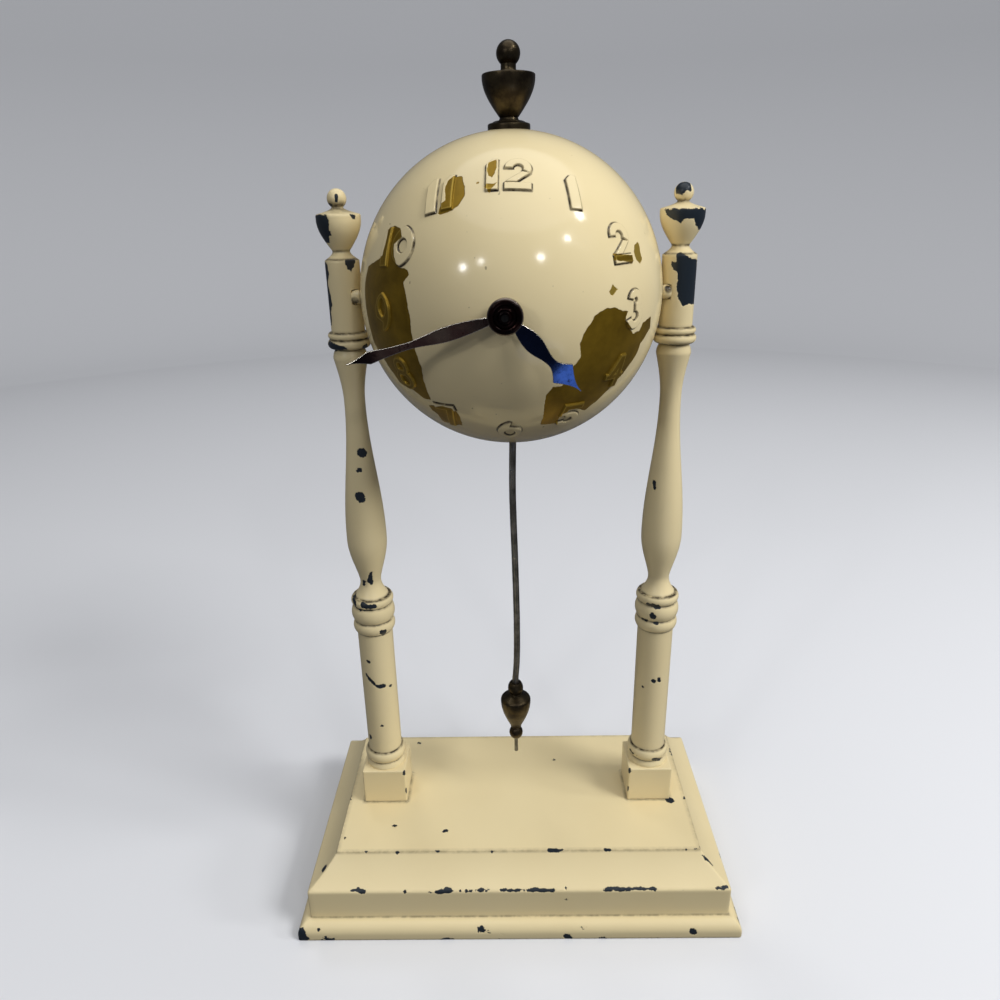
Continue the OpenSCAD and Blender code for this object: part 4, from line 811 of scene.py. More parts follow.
class CLOCK_OT_columns(bpy.types.Operator):
    """Turns a column, sets it on its block, and makes the pair with their chips"""
    bl_idname = "clock.columns"
    bl_label = "Columns"

    def execute(self, context):
        sizes = context.scene.clock_stand
        left = turned("clock_column", column_profile(), 96)
        block = self.block(sizes)
        only(left)
        block.select_set(True)
        bpy.ops.object.join()
        right = left.copy()
        right.data = left.data.copy()
        bpy.context.scene.collection.objects.link(right)
        self.dress(left, "column_left", -1, LEFT_PATCHES, LEFT_SPOTS, LEFT_GROOVES, sizes)
        self.dress(right, "column_right", 1, RIGHT_PATCHES, RIGHT_SPOTS, COLUMN_GROOVES, sizes)
        return {"FINISHED"}

    def block(self, sizes):
        """The square foot block with softened edges, on the axis of its column."""
        size = Vector((sizes.block, sizes.block, sizes.block_height))
        centre = Vector((0, 0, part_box("base")[1].z + sizes.block_height / 2))
        block = fresh(bpy.ops.mesh.primitive_cube_add, "clock_block", size=1.0)
        edit()
        bpy.ops.transform.resize(value=size)
        bpy.ops.transform.translate(value=centre)
        bpy.ops.mesh.subdivide(number_cuts=20)
        done()

        def on_edge(e):
            ends = [block.data.vertices[i].co - centre for i in e.vertices]
            return sum(all(abs(abs(p[k]) - size[k] / 2) < 1e-6 for p in ends) for k in range(3)) > 1

        pick(block, "edges", on_edge)
        bpy.ops.mesh.bevel(offset=sizes.edge, segments=3)
        done()
        return block

    def dress(self, piece, node, side, patches, spots, grooves, sizes):
        """Sets a column in its place, bores the seat of its bead, chips its paint and darkens its grooves
        with dirt and painted shade.
        """
        piece.name = piece.data.name = "clock_" + node
        axis, depth = column_axis(sizes, side), 0.03
        place(piece, (*axis * MM, 0))
        drill(piece, "bead_seat", sizes.bead_hole, depth,
              pivot_line() + Vector((side * (bead_seat(sizes) - depth / 2), 0, 0)), ACROSS)
        points = points_of(piece)
        out, height = points[:, :2] - axis, points[:, 2]
        chip = self.chips(height, np.arctan2(out[:, 0], -out[:, 1]), np.hypot(*out.T), patches, spots)
        corner = (axis[0] - side * 9.2, axis[1] - 9.2)
        knocks = [((*corner, 47.4), (*corner, 46.4), 1.0), ((*corner, 38), (*corner, 36), 0.4)]
        mark(piece, "chip", np.minimum(chip, to_spots(points, knocks)))
        half = sizes.block / 2 / MM
        beside, along = np.max(np.abs(out), axis=1), np.min(np.abs(out), axis=1)
        on_block = np.minimum(np.abs(height - BLOCK_TOP), np.abs(along - half)) + np.abs(beside - half) * 3
        crest = np.min([np.abs(height - z) for z in COLUMN_CRESTS], axis=0)
        block_edge = np.where(height < BLOCK_TOP + 0.1, 1.3 + on_block, FAR)
        mark(piece, "edge", np.minimum(0.7 + crest, block_edge))
        # Painted shade, with dirt: a dark band in each groove, where the block meets the base and under the
        # knob.
        groove = np.min([np.abs(height - z) / wide for z, wide in grooves.items()], axis=0)
        mark(piece, "foot", fade(groove, 1.0))
        finish(piece, "stand", "paint_on_lacquered_wood", [node])

    def chips(self, height, azimuth, radius, patches, spots):
        """Distance in mm to the chips, on the column's surface unrolled."""
        around = UNROLLED * azimuth
        near = [to_outline(around, height, [(UNROLLED * math.radians(a), z) for z, a in outline])
                for outline in patches]
        across = np.stack([azimuth * np.maximum(radius, LEAST_UNROLLED), height], axis=1)
        for (z0, a0), (z1, a1), r in spots:
            level = radius[np.abs(height - z0) < 0.8]
            out = max(level.max() if len(level) else 7.0, LEAST_UNROLLED)
            ends = ((out * math.radians(a0), z0), (out * math.radians(a1), z1))
            near.append(to_spots(across, [(*ends, r)]))
        return np.where(height > BLOCK_TOP, np.min(near, axis=0), FAR)


# The ball

def ball_centre():
    """Centre of the ball: level with the pivots and over the pendulum."""
    left, right = middle("pivot_stud_left"), middle("pivot_stud_right")
    return Vector((0, middle("pendulum_bob").y, (left.z + right.z) / 2))


def pivot_line():
    """The place on the pivots' line between the columns."""
    return Vector((0, middle("pivot_stud_left").y, middle("pivot_stud_left").z))


def bead_seat(sizes):
    """Distance along the pivots' line to the flat where a bead seats in its column."""
    off = sizes.column_back - pivot_line().y
    return sizes.column_reach - math.sqrt(sizes.drum ** 2 - off ** 2) + sizes.bead_sink


def dial_turn(ball):
    """Rotation that brings the Z axis of a turned piece to the front of the dial."""
    return (math.radians(90), 0, ball.turn)


def dial_front(ball):
    """Direction that the dial faces."""
    return Matrix.Rotation(ball.turn, 3, "Z") @ Vector((0, -1, 0))


def spun(a, b, turn):
    """A pair of coordinates turned by an angle."""
    c, s = math.cos(turn), math.sin(turn)
    return c * a - s * b, s * a + c * b


def from_centre(points):
    """Places in mm from the ball's centre."""
    return points - np.array(ball_centre()) / MM


def on_dial(points, ball):
    """Places from the ball's centre, in the ball's own frame."""
    out = from_centre(points)
    return np.stack([*spun(out[:, 0], out[:, 1], -ball.turn), out[:, 2]], axis=1)


# Chips in the enamel, as outlines of (clock angle, polar angle) in degrees
BALL_CHIPS = [
    [(292, 51), (298, 52), (302, 54), (305, 53), (306, 48), (304, 45), (299, 47), (295, 45), (291, 42),
     (292, 37), (290, 36), (285, 38), (279, 36), (266, 34), (257, 35), (247, 36), (237, 38), (228, 43),
     (221, 48), (224, 51), (230, 52), (235, 58), (246, 59), (254, 63), (263, 63), (272, 64), (278, 64),
     (285, 62)],
    [(94, 30), (92, 32), (90, 35), (90, 38), (92, 42), (92, 45), (97, 44), (103, 50), (102, 54), (98, 55),
     (96, 61), (101, 63), (107, 58), (113, 58), (119, 56), (128, 54), (137, 54), (144, 54), (148, 46),
     (153, 46), (158, 52), (165, 49), (160, 39), (156, 33), (149, 31), (144, 33), (133, 30), (126, 30),
     (121, 30), (114, 27), (107, 27)],
    [(220, 53), (215, 45), (210, 43), (205, 47), (202, 54), (207, 56), (210, 60), (214, 55), (217, 55)],
    [(338, 50), (341, 49), (341, 46), (340, 41), (335, 38), (330, 38), (325, 39), (324, 40), (326, 42),
     (330, 42), (332, 46), (335, 49)],
    [(353, 51), (356, 52), (356, 48), (354, 44), (352, 45), (352, 48)],
    [(350, 42), (356, 42), (355, 41), (352, 39), (350, 41)],
    [(64, 42), (65, 43), (69, 50), (72, 49), (67, 41)],
    [(66, 54), (66, 57), (72, 56), (74, 54), (71, 52), (68, 52)],
    [(78, 38), (81, 40), (84, 37), (81, 36)],
    [(347, 44.5), (348, 44), (347, 43.5), (346.4, 44)],
]
# Small chips that are rubbed bright, as places in the list of chips
BRIGHT_CHIPS = [7, 8]

# How far single numbers were stamped askew, in degrees, and off their place, in mm
NUMERAL_LEAN = {1: -9.0, 10: 5.0, 11: 16.0}
NUMERAL_OFF = {10: 0.8, 12: 0.8}
# Where the slope of a stamped number starts outside its outline, and how wide it is, in mm
STAMP_START, STAMP_SLOPE = 0.16, 0.42


class Numerals:
    """Outlines of the twelve numbers: distances in mm to bold figures of one height and stroke."""

    def __init__(self, ball):
        self.ball = ball
        self.high, self.s = ball.numeral_height / MM, ball.numeral_stroke / MM
        self.wide = 0.66 * self.high
        self.top, self.half = self.high / 2, self.wide / 2
        self.one_wide, self.nought_wide, self.gap = 1.4 * self.s, 0.76 * self.high, 1.7

    def bar(self, x, y, x0, y0, x1, y1):
        """A box between two corners."""
        return to_outline(x, y, [(x0, y0), (x1, y0), (x1, y1), (x0, y1)])

    def lens(self, x, y, w, h):
        """A pointed oval."""
        r = (w ** 2 + h ** 2) / (4 * w)
        return np.maximum(np.hypot(x - w / 2 + r, y), np.hypot(x + w / 2 - r, y)) - r

    def ring(self, x, y, cy, r, thick):
        """A whole ring."""
        d = np.hypot(x, y - cy)
        return np.maximum(d - r, r - thick - d)

    def stroke(self, x, y, cy, r, a0, a1):
        """A ring's part between two angles in degrees."""
        sector = [(0, cy)] + arc((0, cy), 2 * r, a0, a1, 6)
        return np.maximum(self.ring(x, y, cy, r, self.s), to_outline(x, y, sector))

    def digit(self, d, x, y):
        """One figure about its middle."""
        s, top, half, wide, high = self.s, self.top, self.half, self.wide, self.high
        small = half - 0.6
        if d == 0:
            inside = self.lens(x, y, self.nought_wide - 1.7 * s, high - 3 * s)
            return np.maximum(self.lens(x, y, self.nought_wide, high), -inside)
        if d == 1:
            return to_outline(x, y, [(-0.7 * s, -top), (0.7 * s, -top), (0.7 * s, top), (0, top),
                                     (-0.7 * s, top - 0.8 * s)])
        if d == 2:
            return np.min([
                self.stroke(x, y, top - half, half, -30, 180),
                to_outline(x, y, [(-half, s - top), (1.4 * s - half, s - top),
                                  (half - 0.1 * s, top - 1.45 * half), (half - 1.1 * s, top - 1.35 * half)]),
                self.bar(x, y, -half, -top, half, s - top)], axis=0)
        if d == 3:
            return np.minimum(self.stroke(x, y, top - small, small, -90, 165),
                              self.stroke(x, y, half - top, half, -165, 90))
        if d == 4:
            low = 0.28 * high - top
            return np.min([
                self.bar(x, y, 0.1 * s, -top, 1.1 * s, top),
                self.bar(x, y, -half, low, half, low + 0.9 * s),
                to_outline(x, y, [(-half, 0.3 * high - top), (1.1 * s - half, 0.3 * high - top),
                                  (1.1 * s, top - s), (1.1 * s, top), (0.1 * s, top)])], axis=0)
        if d == 5:
            left = 0.2 - half
            return np.min([
                self.stroke(x, y, half - top, half, -160, 130),
                self.bar(x, y, left, top - s, left + wide - 0.6, top),
                to_outline(x, y, [(left, top), (left + 0.9 * s, top), (0.9 * s + 0.1 - half, 0.06 * high),
                                  (-half, 0)])], axis=0)
        if d == 6:
            counter = self.lens(x, y + 0.12 * high, wide - 1.7 * s, 0.46 * high)
            open_side = to_outline(x, y, [(0.1 * wide, top), (half, top), (half, 0.16 * high),
                                          (0.02 * wide, 0.26 * high)])
            return np.max([self.lens(x, y, wide, high), -counter, -open_side], axis=0)
        if d == 7:
            return np.minimum(
                self.bar(x, y, -half, top - s, half, top),
                to_outline(x, y, [(half - 1.3 * s, top - 0.5), (half, top - 0.5), (-0.1 * s, -top),
                                  (-1.2 * s, -top)]))
        if d == 8:
            return np.minimum(self.ring(x, y, top - small, small, 0.8 * s),
                              self.ring(x, y, half - top, half, 0.8 * s))
        return self.digit(6, -x, -y)

    def number(self, hour, x, y):
        """The one or two figures of an hour."""
        tens, ones = divmod(hour, 10)
        if not tens:
            return self.digit(ones, x, y)
        ones_wide = {0: self.nought_wide, 1: self.one_wide}.get(ones, self.wide)
        left = self.digit(tens, x + (self.gap + ones_wide) / 2, y)
        return np.minimum(left, self.digit(ones, x - (self.one_wide + self.gap) / 2, y))

    def distance(self, points):
        """Distance in mm from each place on the ball, in its own frame, to the nearest figure's outline."""
        near = np.full(len(points), FAR)
        polar = self.ball.numeral_polar
        x, (y, z) = points[:, 0], spun(points[:, 1], points[:, 2], -self.ball.numeral_drop)
        for hour in range(1, 13):
            h = math.radians(30 * hour)
            lift = math.asin(math.sin(polar) * math.cos(h))
            turn = -math.atan2(math.sin(polar) * math.sin(h), math.cos(polar))
            side, back = spun(x, y, turn)
            behind, up = spun(back, z, lift)
            across, along = spun(side, up, -math.radians(NUMERAL_LEAN.get(hour, 0.0)))
            across = across - NUMERAL_OFF.get(hour, 0.0)
            close = (behind < 0) & (np.abs(across) < 14) & (np.abs(along) < 10)
            if close.any():
                near[close] = np.minimum(near[close], self.number(hour, across[close], along[close]))
        return near


def pendulum_slot(ball):
    """Cutter for the slot under the ball that the pendulum swings in."""
    slot = fresh(bpy.ops.mesh.primitive_cylinder_add, "pendulum_slot", vertices=48, radius=ball.slot,
                 depth=0.03)
    for side in (-1, 1):
        pick(slot, "vertices", lambda v: v.co.x * side > 1e-6)
        bpy.ops.transform.translate(value=(side * ball.slot_reach, 0, 0))
        done()
    place(slot, ball_centre() - Vector((0, 0, ball.radius)), (0, 0, ball.turn))
    return slot


def spun_shell(name, profile, steps, ball):
    """One shell of the ball, with the pendulum's slot and the holes for the pivot and finial studs."""
    piece = turned(name, profile, steps)
    place(piece, ball_centre(), dial_turn(ball))
    cut(piece, pendulum_slot(ball))
    depth, sides = 0.012, 32
    for side in (-1, 1):
        at = pivot_line() + Vector((side * ball.radius, 0, 0))
        drill(piece, "stud_hole", ball.stud_hole, depth, at, ACROSS, sides)
    at = ball_centre() + Vector((0, 0, ball.radius))
    drill(piece, "stud_hole", ball.finial_hole, depth, at, vertices=sides)
    return piece


def enamel_marks(piece, ball, numerals):
    """Keeps on a shell where its enamel is chipped, darkened round the numbers with dirt and painted shade,
    and rubbed.
    """
    points, r = on_dial(points_of(piece), ball), ball.radius / MM
    reach = np.arctan2(np.hypot(points[:, 0], points[:, 2]), -points[:, 1]) * r
    clock = np.arctan2(points[:, 0], points[:, 2])
    x, y = reach * np.sin(clock), reach * np.cos(clock)

    def flat(outline):
        """An outline's places on the dial laid flat."""
        return [(math.radians(polar) * r * math.sin(math.radians(turn)),
                 math.radians(polar) * r * math.cos(math.radians(turn))) for turn, polar in outline]

    chips = np.array([to_outline(x, y, flat(outline)) for outline in BALL_CHIPS])
    near = numerals.distance(points) if numerals else np.full(len(points), FAR)
    rubbed = np.min(chips[BRIGHT_CHIPS], axis=0) < 0.8
    mark(piece, "chip", np.min(chips, axis=0))
    # Painted shade, with dirt: a dark line just outside each number, at the foot of its slope.
    mark(piece, "foot", np.minimum(1.0, 1.5 * fade(near - 0.12, 0.2)))
    mark(piece, "crest", np.maximum(rubbed, 0.8 * fade(near + 0.35, 0.2)))


class CLOCK_OT_front_shell(bpy.types.Operator):
    """Spins the front of the ball, stamps the twelve numbers into it and chips its enamel"""
    bl_idname = "clock.front_shell"
    bl_label = "Front shell"

    def execute(self, context):
        ball = context.scene.clock_ball
        r, wall, seam, hole = ball.radius / MM, ball.wall / MM, ball.seam / MM, ball.bush_hole / MM

        def lies(at, radius):
            """Angle in degrees at which a sphere has a width or a height."""
            return math.degrees(math.asin(at / radius))

        outside = (sphere_arc(r, lies(hole, r), 30, 1.1) + sphere_arc(r, 30, 66, 0.6)[1:]
                   + sphere_arc(r, 66, 90 + lies(seam, r), 0.9)[1:])
        inside = sphere_arc(r - wall, 90 + lies(seam, r - wall), lies(hole, r - wall), 4.0)
        piece = spun_shell("clock_front_shell", outside + inside + outside[:1], 400, ball)
        numerals = Numerals(ball)
        for reach in (0.75, 0.5):
            near = self.to_numbers(piece, ball, numerals)
            pick(piece, "polygons", lambda f: min(abs(near[i]) for i in f.vertices) < reach)
            bpy.ops.mesh.subdivide(number_cuts=1)
            done()
        self.stamp(piece, ball, numerals)
        enamel_marks(piece, ball, numerals)
        finish(piece, "stand", "enamel_on_spun_brass", ["front_shell"], 50.0)
        return {"FINISHED"}

    def to_numbers(self, piece, ball, numerals):
        """Distance in mm to the numbers' outlines, for the outer face alone."""
        points = on_dial(points_of(piece), ball)
        outer = np.linalg.norm(points, axis=1) > ball.radius / MM - 0.1
        return np.where(outer, numerals.distance(points), FAR)

    def stamp(self, piece, ball, numerals):
        """Raises the numbers out of the outer face, each with a smooth slope round it."""
        out = from_centre(points_of(piece))
        far = np.linalg.norm(out, axis=1)
        step = np.clip((STAMP_START - self.to_numbers(piece, ball, numerals)) / STAMP_SLOPE, 0, 1)
        relief = ball.numeral_relief / MM * step * step * (3 - 2 * step)
        r = ball.radius / MM
        raised = np.where(far > r - 0.1, r + relief, far)
        move_to(piece, np.array(ball_centre()) / MM + out * (raised / far)[:, None])


class CLOCK_OT_rear_shell(bpy.types.Operator):
    """Spins the back of the ball with its spigot, and cuts the winding hole"""
    bl_idname = "clock.rear_shell"
    bl_label = "Rear shell"

    def execute(self, context):
        ball = context.scene.clock_ball
        r, wall, fit = ball.radius / MM, ball.wall / MM, 0.02
        seam, spigot = -ball.seam / MM - fit, ball.spigot / MM
        root = -ball.seam / MM - 2

        def band(radius, low, high, step):
            """A sphere's outline between two heights."""
            ends = [math.degrees(math.acos(max(z / radius, -1))) for z in (low, high)]
            return sphere_arc(radius, *ends, step)

        inner = r - wall
        profile = (band(r, -r, seam, 0.9) + band(inner - fit, seam, spigot, 3)
                   + band(inner - wall - fit, spigot, root, 3) + band(inner, root, -inner, 4))
        piece = spun_shell("clock_rear_shell", profile, 300, ball)
        depth = 0.05
        behind = middle("ratchet_wheel") - dial_front(ball) * (depth + 2 * MM)
        drill(piece, "winding_hole", ball.winding_hole, depth, behind, dial_turn(ball), 64)
        enamel_marks(piece, ball, None)
        finish(piece, "stand", "enamel_on_spun_brass", ["rear_shell"], 50.0)
        return {"FINISHED"}


class CLOCK_OT_pivots(bpy.types.Operator):
    """Turns the two pivot studs, each with its bead between the ball and a column"""
    bl_idname = "clock.pivots"
    bl_label = "Pivot studs"

    def execute(self, context):
        r = context.scene.clock_ball.radius / MM
        seat = bead_seat(context.scene.clock_stand) / MM - 0.02
        profile = spaced([(0, 45.38), (1.0, 45.38), (1.1, 45.5), (1.1, r + 0.05), (1.9, r + 0.04)]
                         + bulge(2.4, 0.5, r + 0.1, seat - r - 0.1)
                         + [(1.1, seat), (1.1, 60.4), (1.0, 60.5), (0, 60.5)], 0.5)
        for side, node in ((-1, "pivot_stud_left"), (1, "pivot_stud_right")):
            piece = turned("clock_" + node, profile, 48)
            place(piece, pivot_line(), Vector(ACROSS) * side)
            points = points_of(piece)
            # Painted shade, with dirt: a dark spot on the bead near the column, and a dark line where the
            # bead meets the ball.
            knock = np.array(pivot_line()) / MM + [side * 53.2, -2.0, 1.2 * side]
            spot = np.clip(1.7 - np.linalg.norm(points - knock, axis=1), 0, 0.5) * 2
            mark(piece, "chip", np.full(len(points), FAR))
            mark(piece, "foot", np.maximum(spot, 0.8 * fade(np.abs(points[:, 0]) - r - 0.2, 0.35)))
            mark(piece, "crest", np.zeros(len(points)))
            finish(piece, "stand", "enamel_on_spun_brass", [node])
        return {"FINISHED"}


class CLOCK_OT_finial(bpy.types.Operator):
    """Turns the finial: flange, bowl, rim and ball on a stud"""
    bl_idname = "clock.finial"
    bl_label = "Ball finial"

    def execute(self, context):
        ball = context.scene.clock_ball
        r, knob, neck = ball.radius / MM, 3.75, 2.4
        bowl = r + 3.2
        rim = bowl + 11.4
        stem = rim + 2.6
        top = stem + 1 + math.sqrt(knob ** 2 - neck ** 2)
        seat = arc((0, 0), r + 0.02, 88.4, 82.4, 11)
        profile = spaced([(0, 44.4), (1.35, 44.4), (1.35, r)] + seat
                         + [(6.8, seat[-1][1] + 0.05), (6.8, r + 1.05), (6.72, r + 1.3), (6.45, r + 1.5)]
                         + flare((5.2, r + 1.9), (3.2, r + 2.5), 8) + [(2.9, bowl)]
                         + swell((3.1, bowl + 0.2), (8.4, rim), 36) + arc((7.9, rim + 0.4), 0.5, 0, 80, 8)
                         + [(2.9, stem - 1.2), (2.6, stem - 0.9), (neck, stem - 0.4), (neck, stem + 1)]
                         + arc((0, top), knob, -math.degrees(math.acos(neck / knob)), 90, 36), 0.5)
        piece = turned("clock_ball_finial", profile, 96)
        place(piece, ball_centre(), (0, 0, ball.turn))
        finish(piece, "stand", "tarnished_turned_brass", ["ball_finial"])
        return {"FINISHED"}


# Hands and pendulum

# Where each hand is cut across, in mm from its hub, and how much of its temper colour is left there; on the
# hour hand this is also painted reflection: a near-black blade and a blue spade
HAND_CUTS = {"hour_hand": [16.5, 17.7, 18.9, 20.1, 21.3, 22.5, 23.7], "minute_hand": range(8, 54, 2)}
TEMPER_AND_REFLECTION = {"hour_hand": [(16, 0.12), (18.5, 0.3), (20.5, 1.0)],
          "minute_hand": [(8, 0.25), (15, 1.0), (39, 1.0), (42.5, 0.15)]}


class CLOCK_OT_hands(bpy.types.Operator):
    """Files the edges of the two hands and bends the hour hand's spade back"""
    bl_idname = "clock.hands"
    bl_label = "Hands"

    def execute(self, context):
        sizes, ball = context.scene.clock_hands, context.scene.clock_ball
        for node, body, steel, bend in (("hour_hand", "hour", "fire_blued_steel", sizes.bend),
                                        ("minute_hand", "minute", "browned_steel", 0.0)):
            piece = copy_of(node, "clock_" + node)
            coat(piece, material_for(steel), material_for("rubbed_steel_edge"))
            self.bend(piece, HAND_CUTS[node], bend, ball)
            soften(piece, sizes.bevel, 2, material=1)
            out = from_centre(points_of(piece))
            # Painted reflection as well as temper on the hour hand: near black towards the hub, blue on the
            # spade.
            mark(piece, "temper", np.interp(np.hypot(out[:, 0], out[:, 2]), *zip(*TEMPER_AND_REFLECTION[node])))
            finish(piece, body, None, [node], 15.0)
        return {"FINISHED"}

    def bend(self, piece, reaches, bend, ball):
        """Cuts the hand across and turns what lies beyond each cut a little further back."""
        front, centre = dial_front(ball), ball_centre()
        tip = max((v.co - centre for v in piece.data.vertices), key=lambda out: out.cross(front).length)
        face = centre + front * tip.dot(front)
        along = (tip - front * tip.dot(front)).normalized()
        turn = Matrix.Rotation(bend / len(reaches), 3, front.cross(along))
        slice_across(piece, [centre + along * reach * MM for reach in reaches], along)
        for reach in reaches:
            hinge = face + along * reach * MM
            for v in piece.data.vertices:
                if (v.co - centre).dot(along) > reach * MM + 1e-5:
                    v.co = hinge + turn @ (v.co - hinge)


class CLOCK_OT_hand_nut(bpy.types.Operator):
    """Turns the round nut that holds the hands"""
    bl_idname = "clock.hand_nut"
    bl_label = "Hand nut"

    def execute(self, context):
        sizes, ball = context.scene.clock_hands, context.scene.clock_ball
        r, high, bore = extent("hand_nut").z / 2 / MM, sizes.nut_height / MM, 1.06
        profile = spaced([(bore, 0.02), (r - 0.8, 0.02)] + arc((r - 1.2, 1.2), 1.2, -70, 120, 22)
                         + [(r - 2.1, 1.5), (2.35, 1.62), (2.1, 1.8), (1.95, high - 0.5), (1.8, high - 0.15),
                            (1.5, high), (bore, high), (bore, 0.02)], 0.3)
        piece = turned("clock_hand_nut", profile, 72)
        points = points_of(piece)
        mark(piece, "rubbed", 0.7 * fade(np.hypot(points[:, 0], points[:, 1]) - r + 0.12, 0.22))
        place(piece, ball_centre() + dial_front(ball) * (ball.radius + sizes.nut_stand), dial_turn(ball))
        finish(piece, "minute", "browned_brass", ["hand_nut"])
        return {"FINISHED"}


# Bends of the rod: height and offset to the right, in mm
ROD_BENDS = [(90, 0.0), (93, 0.26), (98, 0.62), (106, 0.8), (119, 0.82), (133, 0.6), (148, 0.28),
             (160, -0.05), (170, -0.25), (178, -0.28), (186, -0.14), (193, 0.0)]
# The bob's widest place and its foot, and the bore of bob and nut round the rod's tail, in mm
BOB_WAIST, BOB_FOOT, TAIL_BORE = 79.0, 65.2, 0.85


class CLOCK_OT_pendulum(bpy.types.Operator):
    """Turns the bob and the rating nut, and draws the slightly bent rod and the strip that it hangs on"""
    bl_idname = "clock.pendulum"
    bl_label = "Pendulum"

    def execute(self, context):
        for node, body, profile, steps in (("pendulum_bob", "bob", self.bob(), 72),
                                           ("rating_nut", "rating", self.nut(), 64)):
            piece = turned("clock_" + node, profile, steps)
            place(piece, (0, middle("pendulum_bob").y, 0))
            finish(piece, body, "tarnished_turned_brass", [node])
        self.rod()
        self.spring()
        return {"FINISHED"}

    def bob(self):
        """Half profile of the urn-shaped bob with its bore."""
        waist, low, bore = BOB_WAIST, BOB_FOOT, TAIL_BORE
        return spaced([(bore, low), (2.0, low), (2.25, low + 0.3), (2.3, low + 0.8)]
                      + swell((2.3, low + 1), (6.3, waist), 30) + arc((4.7, waist + 0.2), 1.6, 0, 78, 12)
                      + [(2.5, waist + 2.8), (2.4, waist + 3.05)] + bulge(3.2, 0.9, waist + 3.2, 5.6, 16)
                      + [(1.35, waist + 8.8), (1.35, waist - 2.2), (bore, waist - 2.2), (bore, low)], 0.5)

    def nut(self):
        """Half profile of the round rating nut under the bob."""
        top, bore = BOB_FOOT - 0.02, TAIL_BORE
        low = top - 5.8
        return spaced([(bore, low), (1.2, low)] + bulge(2.9, 1.5, top - 5.7, 5.6, 24)
                      + [(1.2, top), (bore, top), (bore, low)], 0.4)

    def rod(self):
        """The rod, cut across and bent a little by hand."""
        rod = copy_of("pendulum_rod", "clock_pendulum_rod")
        slice_across(rod, [(0, 0, height * MM) for height in range(90, 194, 3)], (0, 0, 1))
        points = points_of(rod)
        points[:, 0] += np.interp(points[:, 2], *zip(*ROD_BENDS))
        move_to(rod, points)
        finish(rod, "pendulum", "greyed_drawn_brass", ["pendulum_rod"])

    def spring(self):
        """The strip that the rod hangs on, cut across so that it can bend."""
        spring = copy_of("suspension_spring", "clock_suspension_spring")
        jaw, rod_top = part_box("suspension_cock")[0].z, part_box("pendulum_rod")[1].z
        slice_across(spring, [(0, 0, height) for height in np.linspace(rod_top, jaw, 12)], (0, 0, 1))
        finish(spring, None, "turned_steel", ["suspension_spring"])
        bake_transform(spring)


class CLOCK_OT_key(bpy.types.Operator):
    """Rounds the edges of the winding key"""
    bl_idname = "clock.key"
    bl_label = "Winding key"

    def execute(self, context):
        piece = copy_of("winding_key", "clock_winding_key")
        soften(piece, 0.25 * MM, 3)
        finish(piece, "winding", "turned_steel", ["winding_key"], 12.0)
        return {"FINISHED"}


# The finish of each of the record's slots, and of the one node that has another
SLOT_FINISHES = {
    "movement_brass": "rolled_brass", "movement_steel": "turned_steel", "blued_steel": "fire_blued_steel",
    "tarnished_brass": "tarnished_turned_brass", "painted_brass": "enamel_on_spun_brass",
    "painted_wood": "paint_on_lacquered_wood",
}
NODE_FINISHES = {"centre_arbor": "blackened_steel"}


class CLOCK_OT_movement(bpy.types.Operator):
    """Gives every piece of the frame, the movement's above all, the finish of its slot"""
    bl_idname = "clock.movement"
    bl_label = "Movement"

    def execute(self, context):
        for entry in frame["record"]["subparts"]:
            surface = NODE_FINISHES.get(entry["node"], SLOT_FINISHES[entry["material_slot"]])
            piece = frame["nodes"][entry["node"]]
            if not piece.material_slots:
                piece.data.materials.append(material_for(surface))
            for slot in piece.material_slots:
                slot.material = material_for(surface)
        return {"FINISHED"}


# Stage

# A round floor that runs up into a round backdrop, in mm
FLOOR_REACH, BACKDROP_BEND, BACKDROP_TOP = 1300, 600, 3500

# Soft lamps: name, place in metres, diameter in metres, power in watts, colour, plain light, shine
STUDIO_LIGHTS = (
    ("key_light", (1.0, -0.55, 1.05), 0.45, 10.0, "FFFFFF", True, False),
    ("overhead_light", (0.1, -0.2, 2.25), 3.0, 22.5, "FFFFFF", True, True),
    ("fill_light", (-0.8, -1.0, 0.75), 0.4, 1.4, "FFFFFF", True, False),
    ("right_lamp", (1.05, -0.3, 1.42), 0.15, 2.0, "FFFFFF", True, True),
    ("front_right_lamp", (0.8, -0.7, 1.07), 0.09, 0.8, "FFFFFF", True, True),
    ("front_lamp", (0.42, -1.0, 0.85), 0.09, 0.9, "FFFFFF", True, True),
    ("front_left_lamp", (-0.42, -1.0, 0.8), 0.08, 0.4, "FFFFFF", True, True),
    ("left_lamp", (-0.65, -0.9, 0.7), 0.09, 0.75, "FFFFFF", True, True),
    ("back_light", (-0.6, 1.1, 1.5), 0.5, 3.5, "FFFFFF", True, False),
    ("side_light", (1.2, -0.2, 0.62), 0.2, 3.2, "FFFFFF", True, False),
    ("floor_card", (0.154, -0.383, 0.002), 0.26, 0.11, "D8E2FF", False, True),
)
# Where the lamps point, in metres, and the faint light from all round
LIT_PLACE = (0, 0, 0.2)
SKY_TINT, SKY_STRENGTH = "C8CEDC", 0.15

# The camera: its place in mm, its turns in degrees, and its focal length in pixels of a 1000-pixel picture
CAMERA_AT = (-1.528, -267.714, 275.42)
CAMERA_PITCH, CAMERA_YAW, CAMERA_ROLL = 21.495, -0.765, -1.072
FOCAL_PIXELS, PICTURE_PIXELS, SENSOR_MM = 754.249, 1000, 36.0


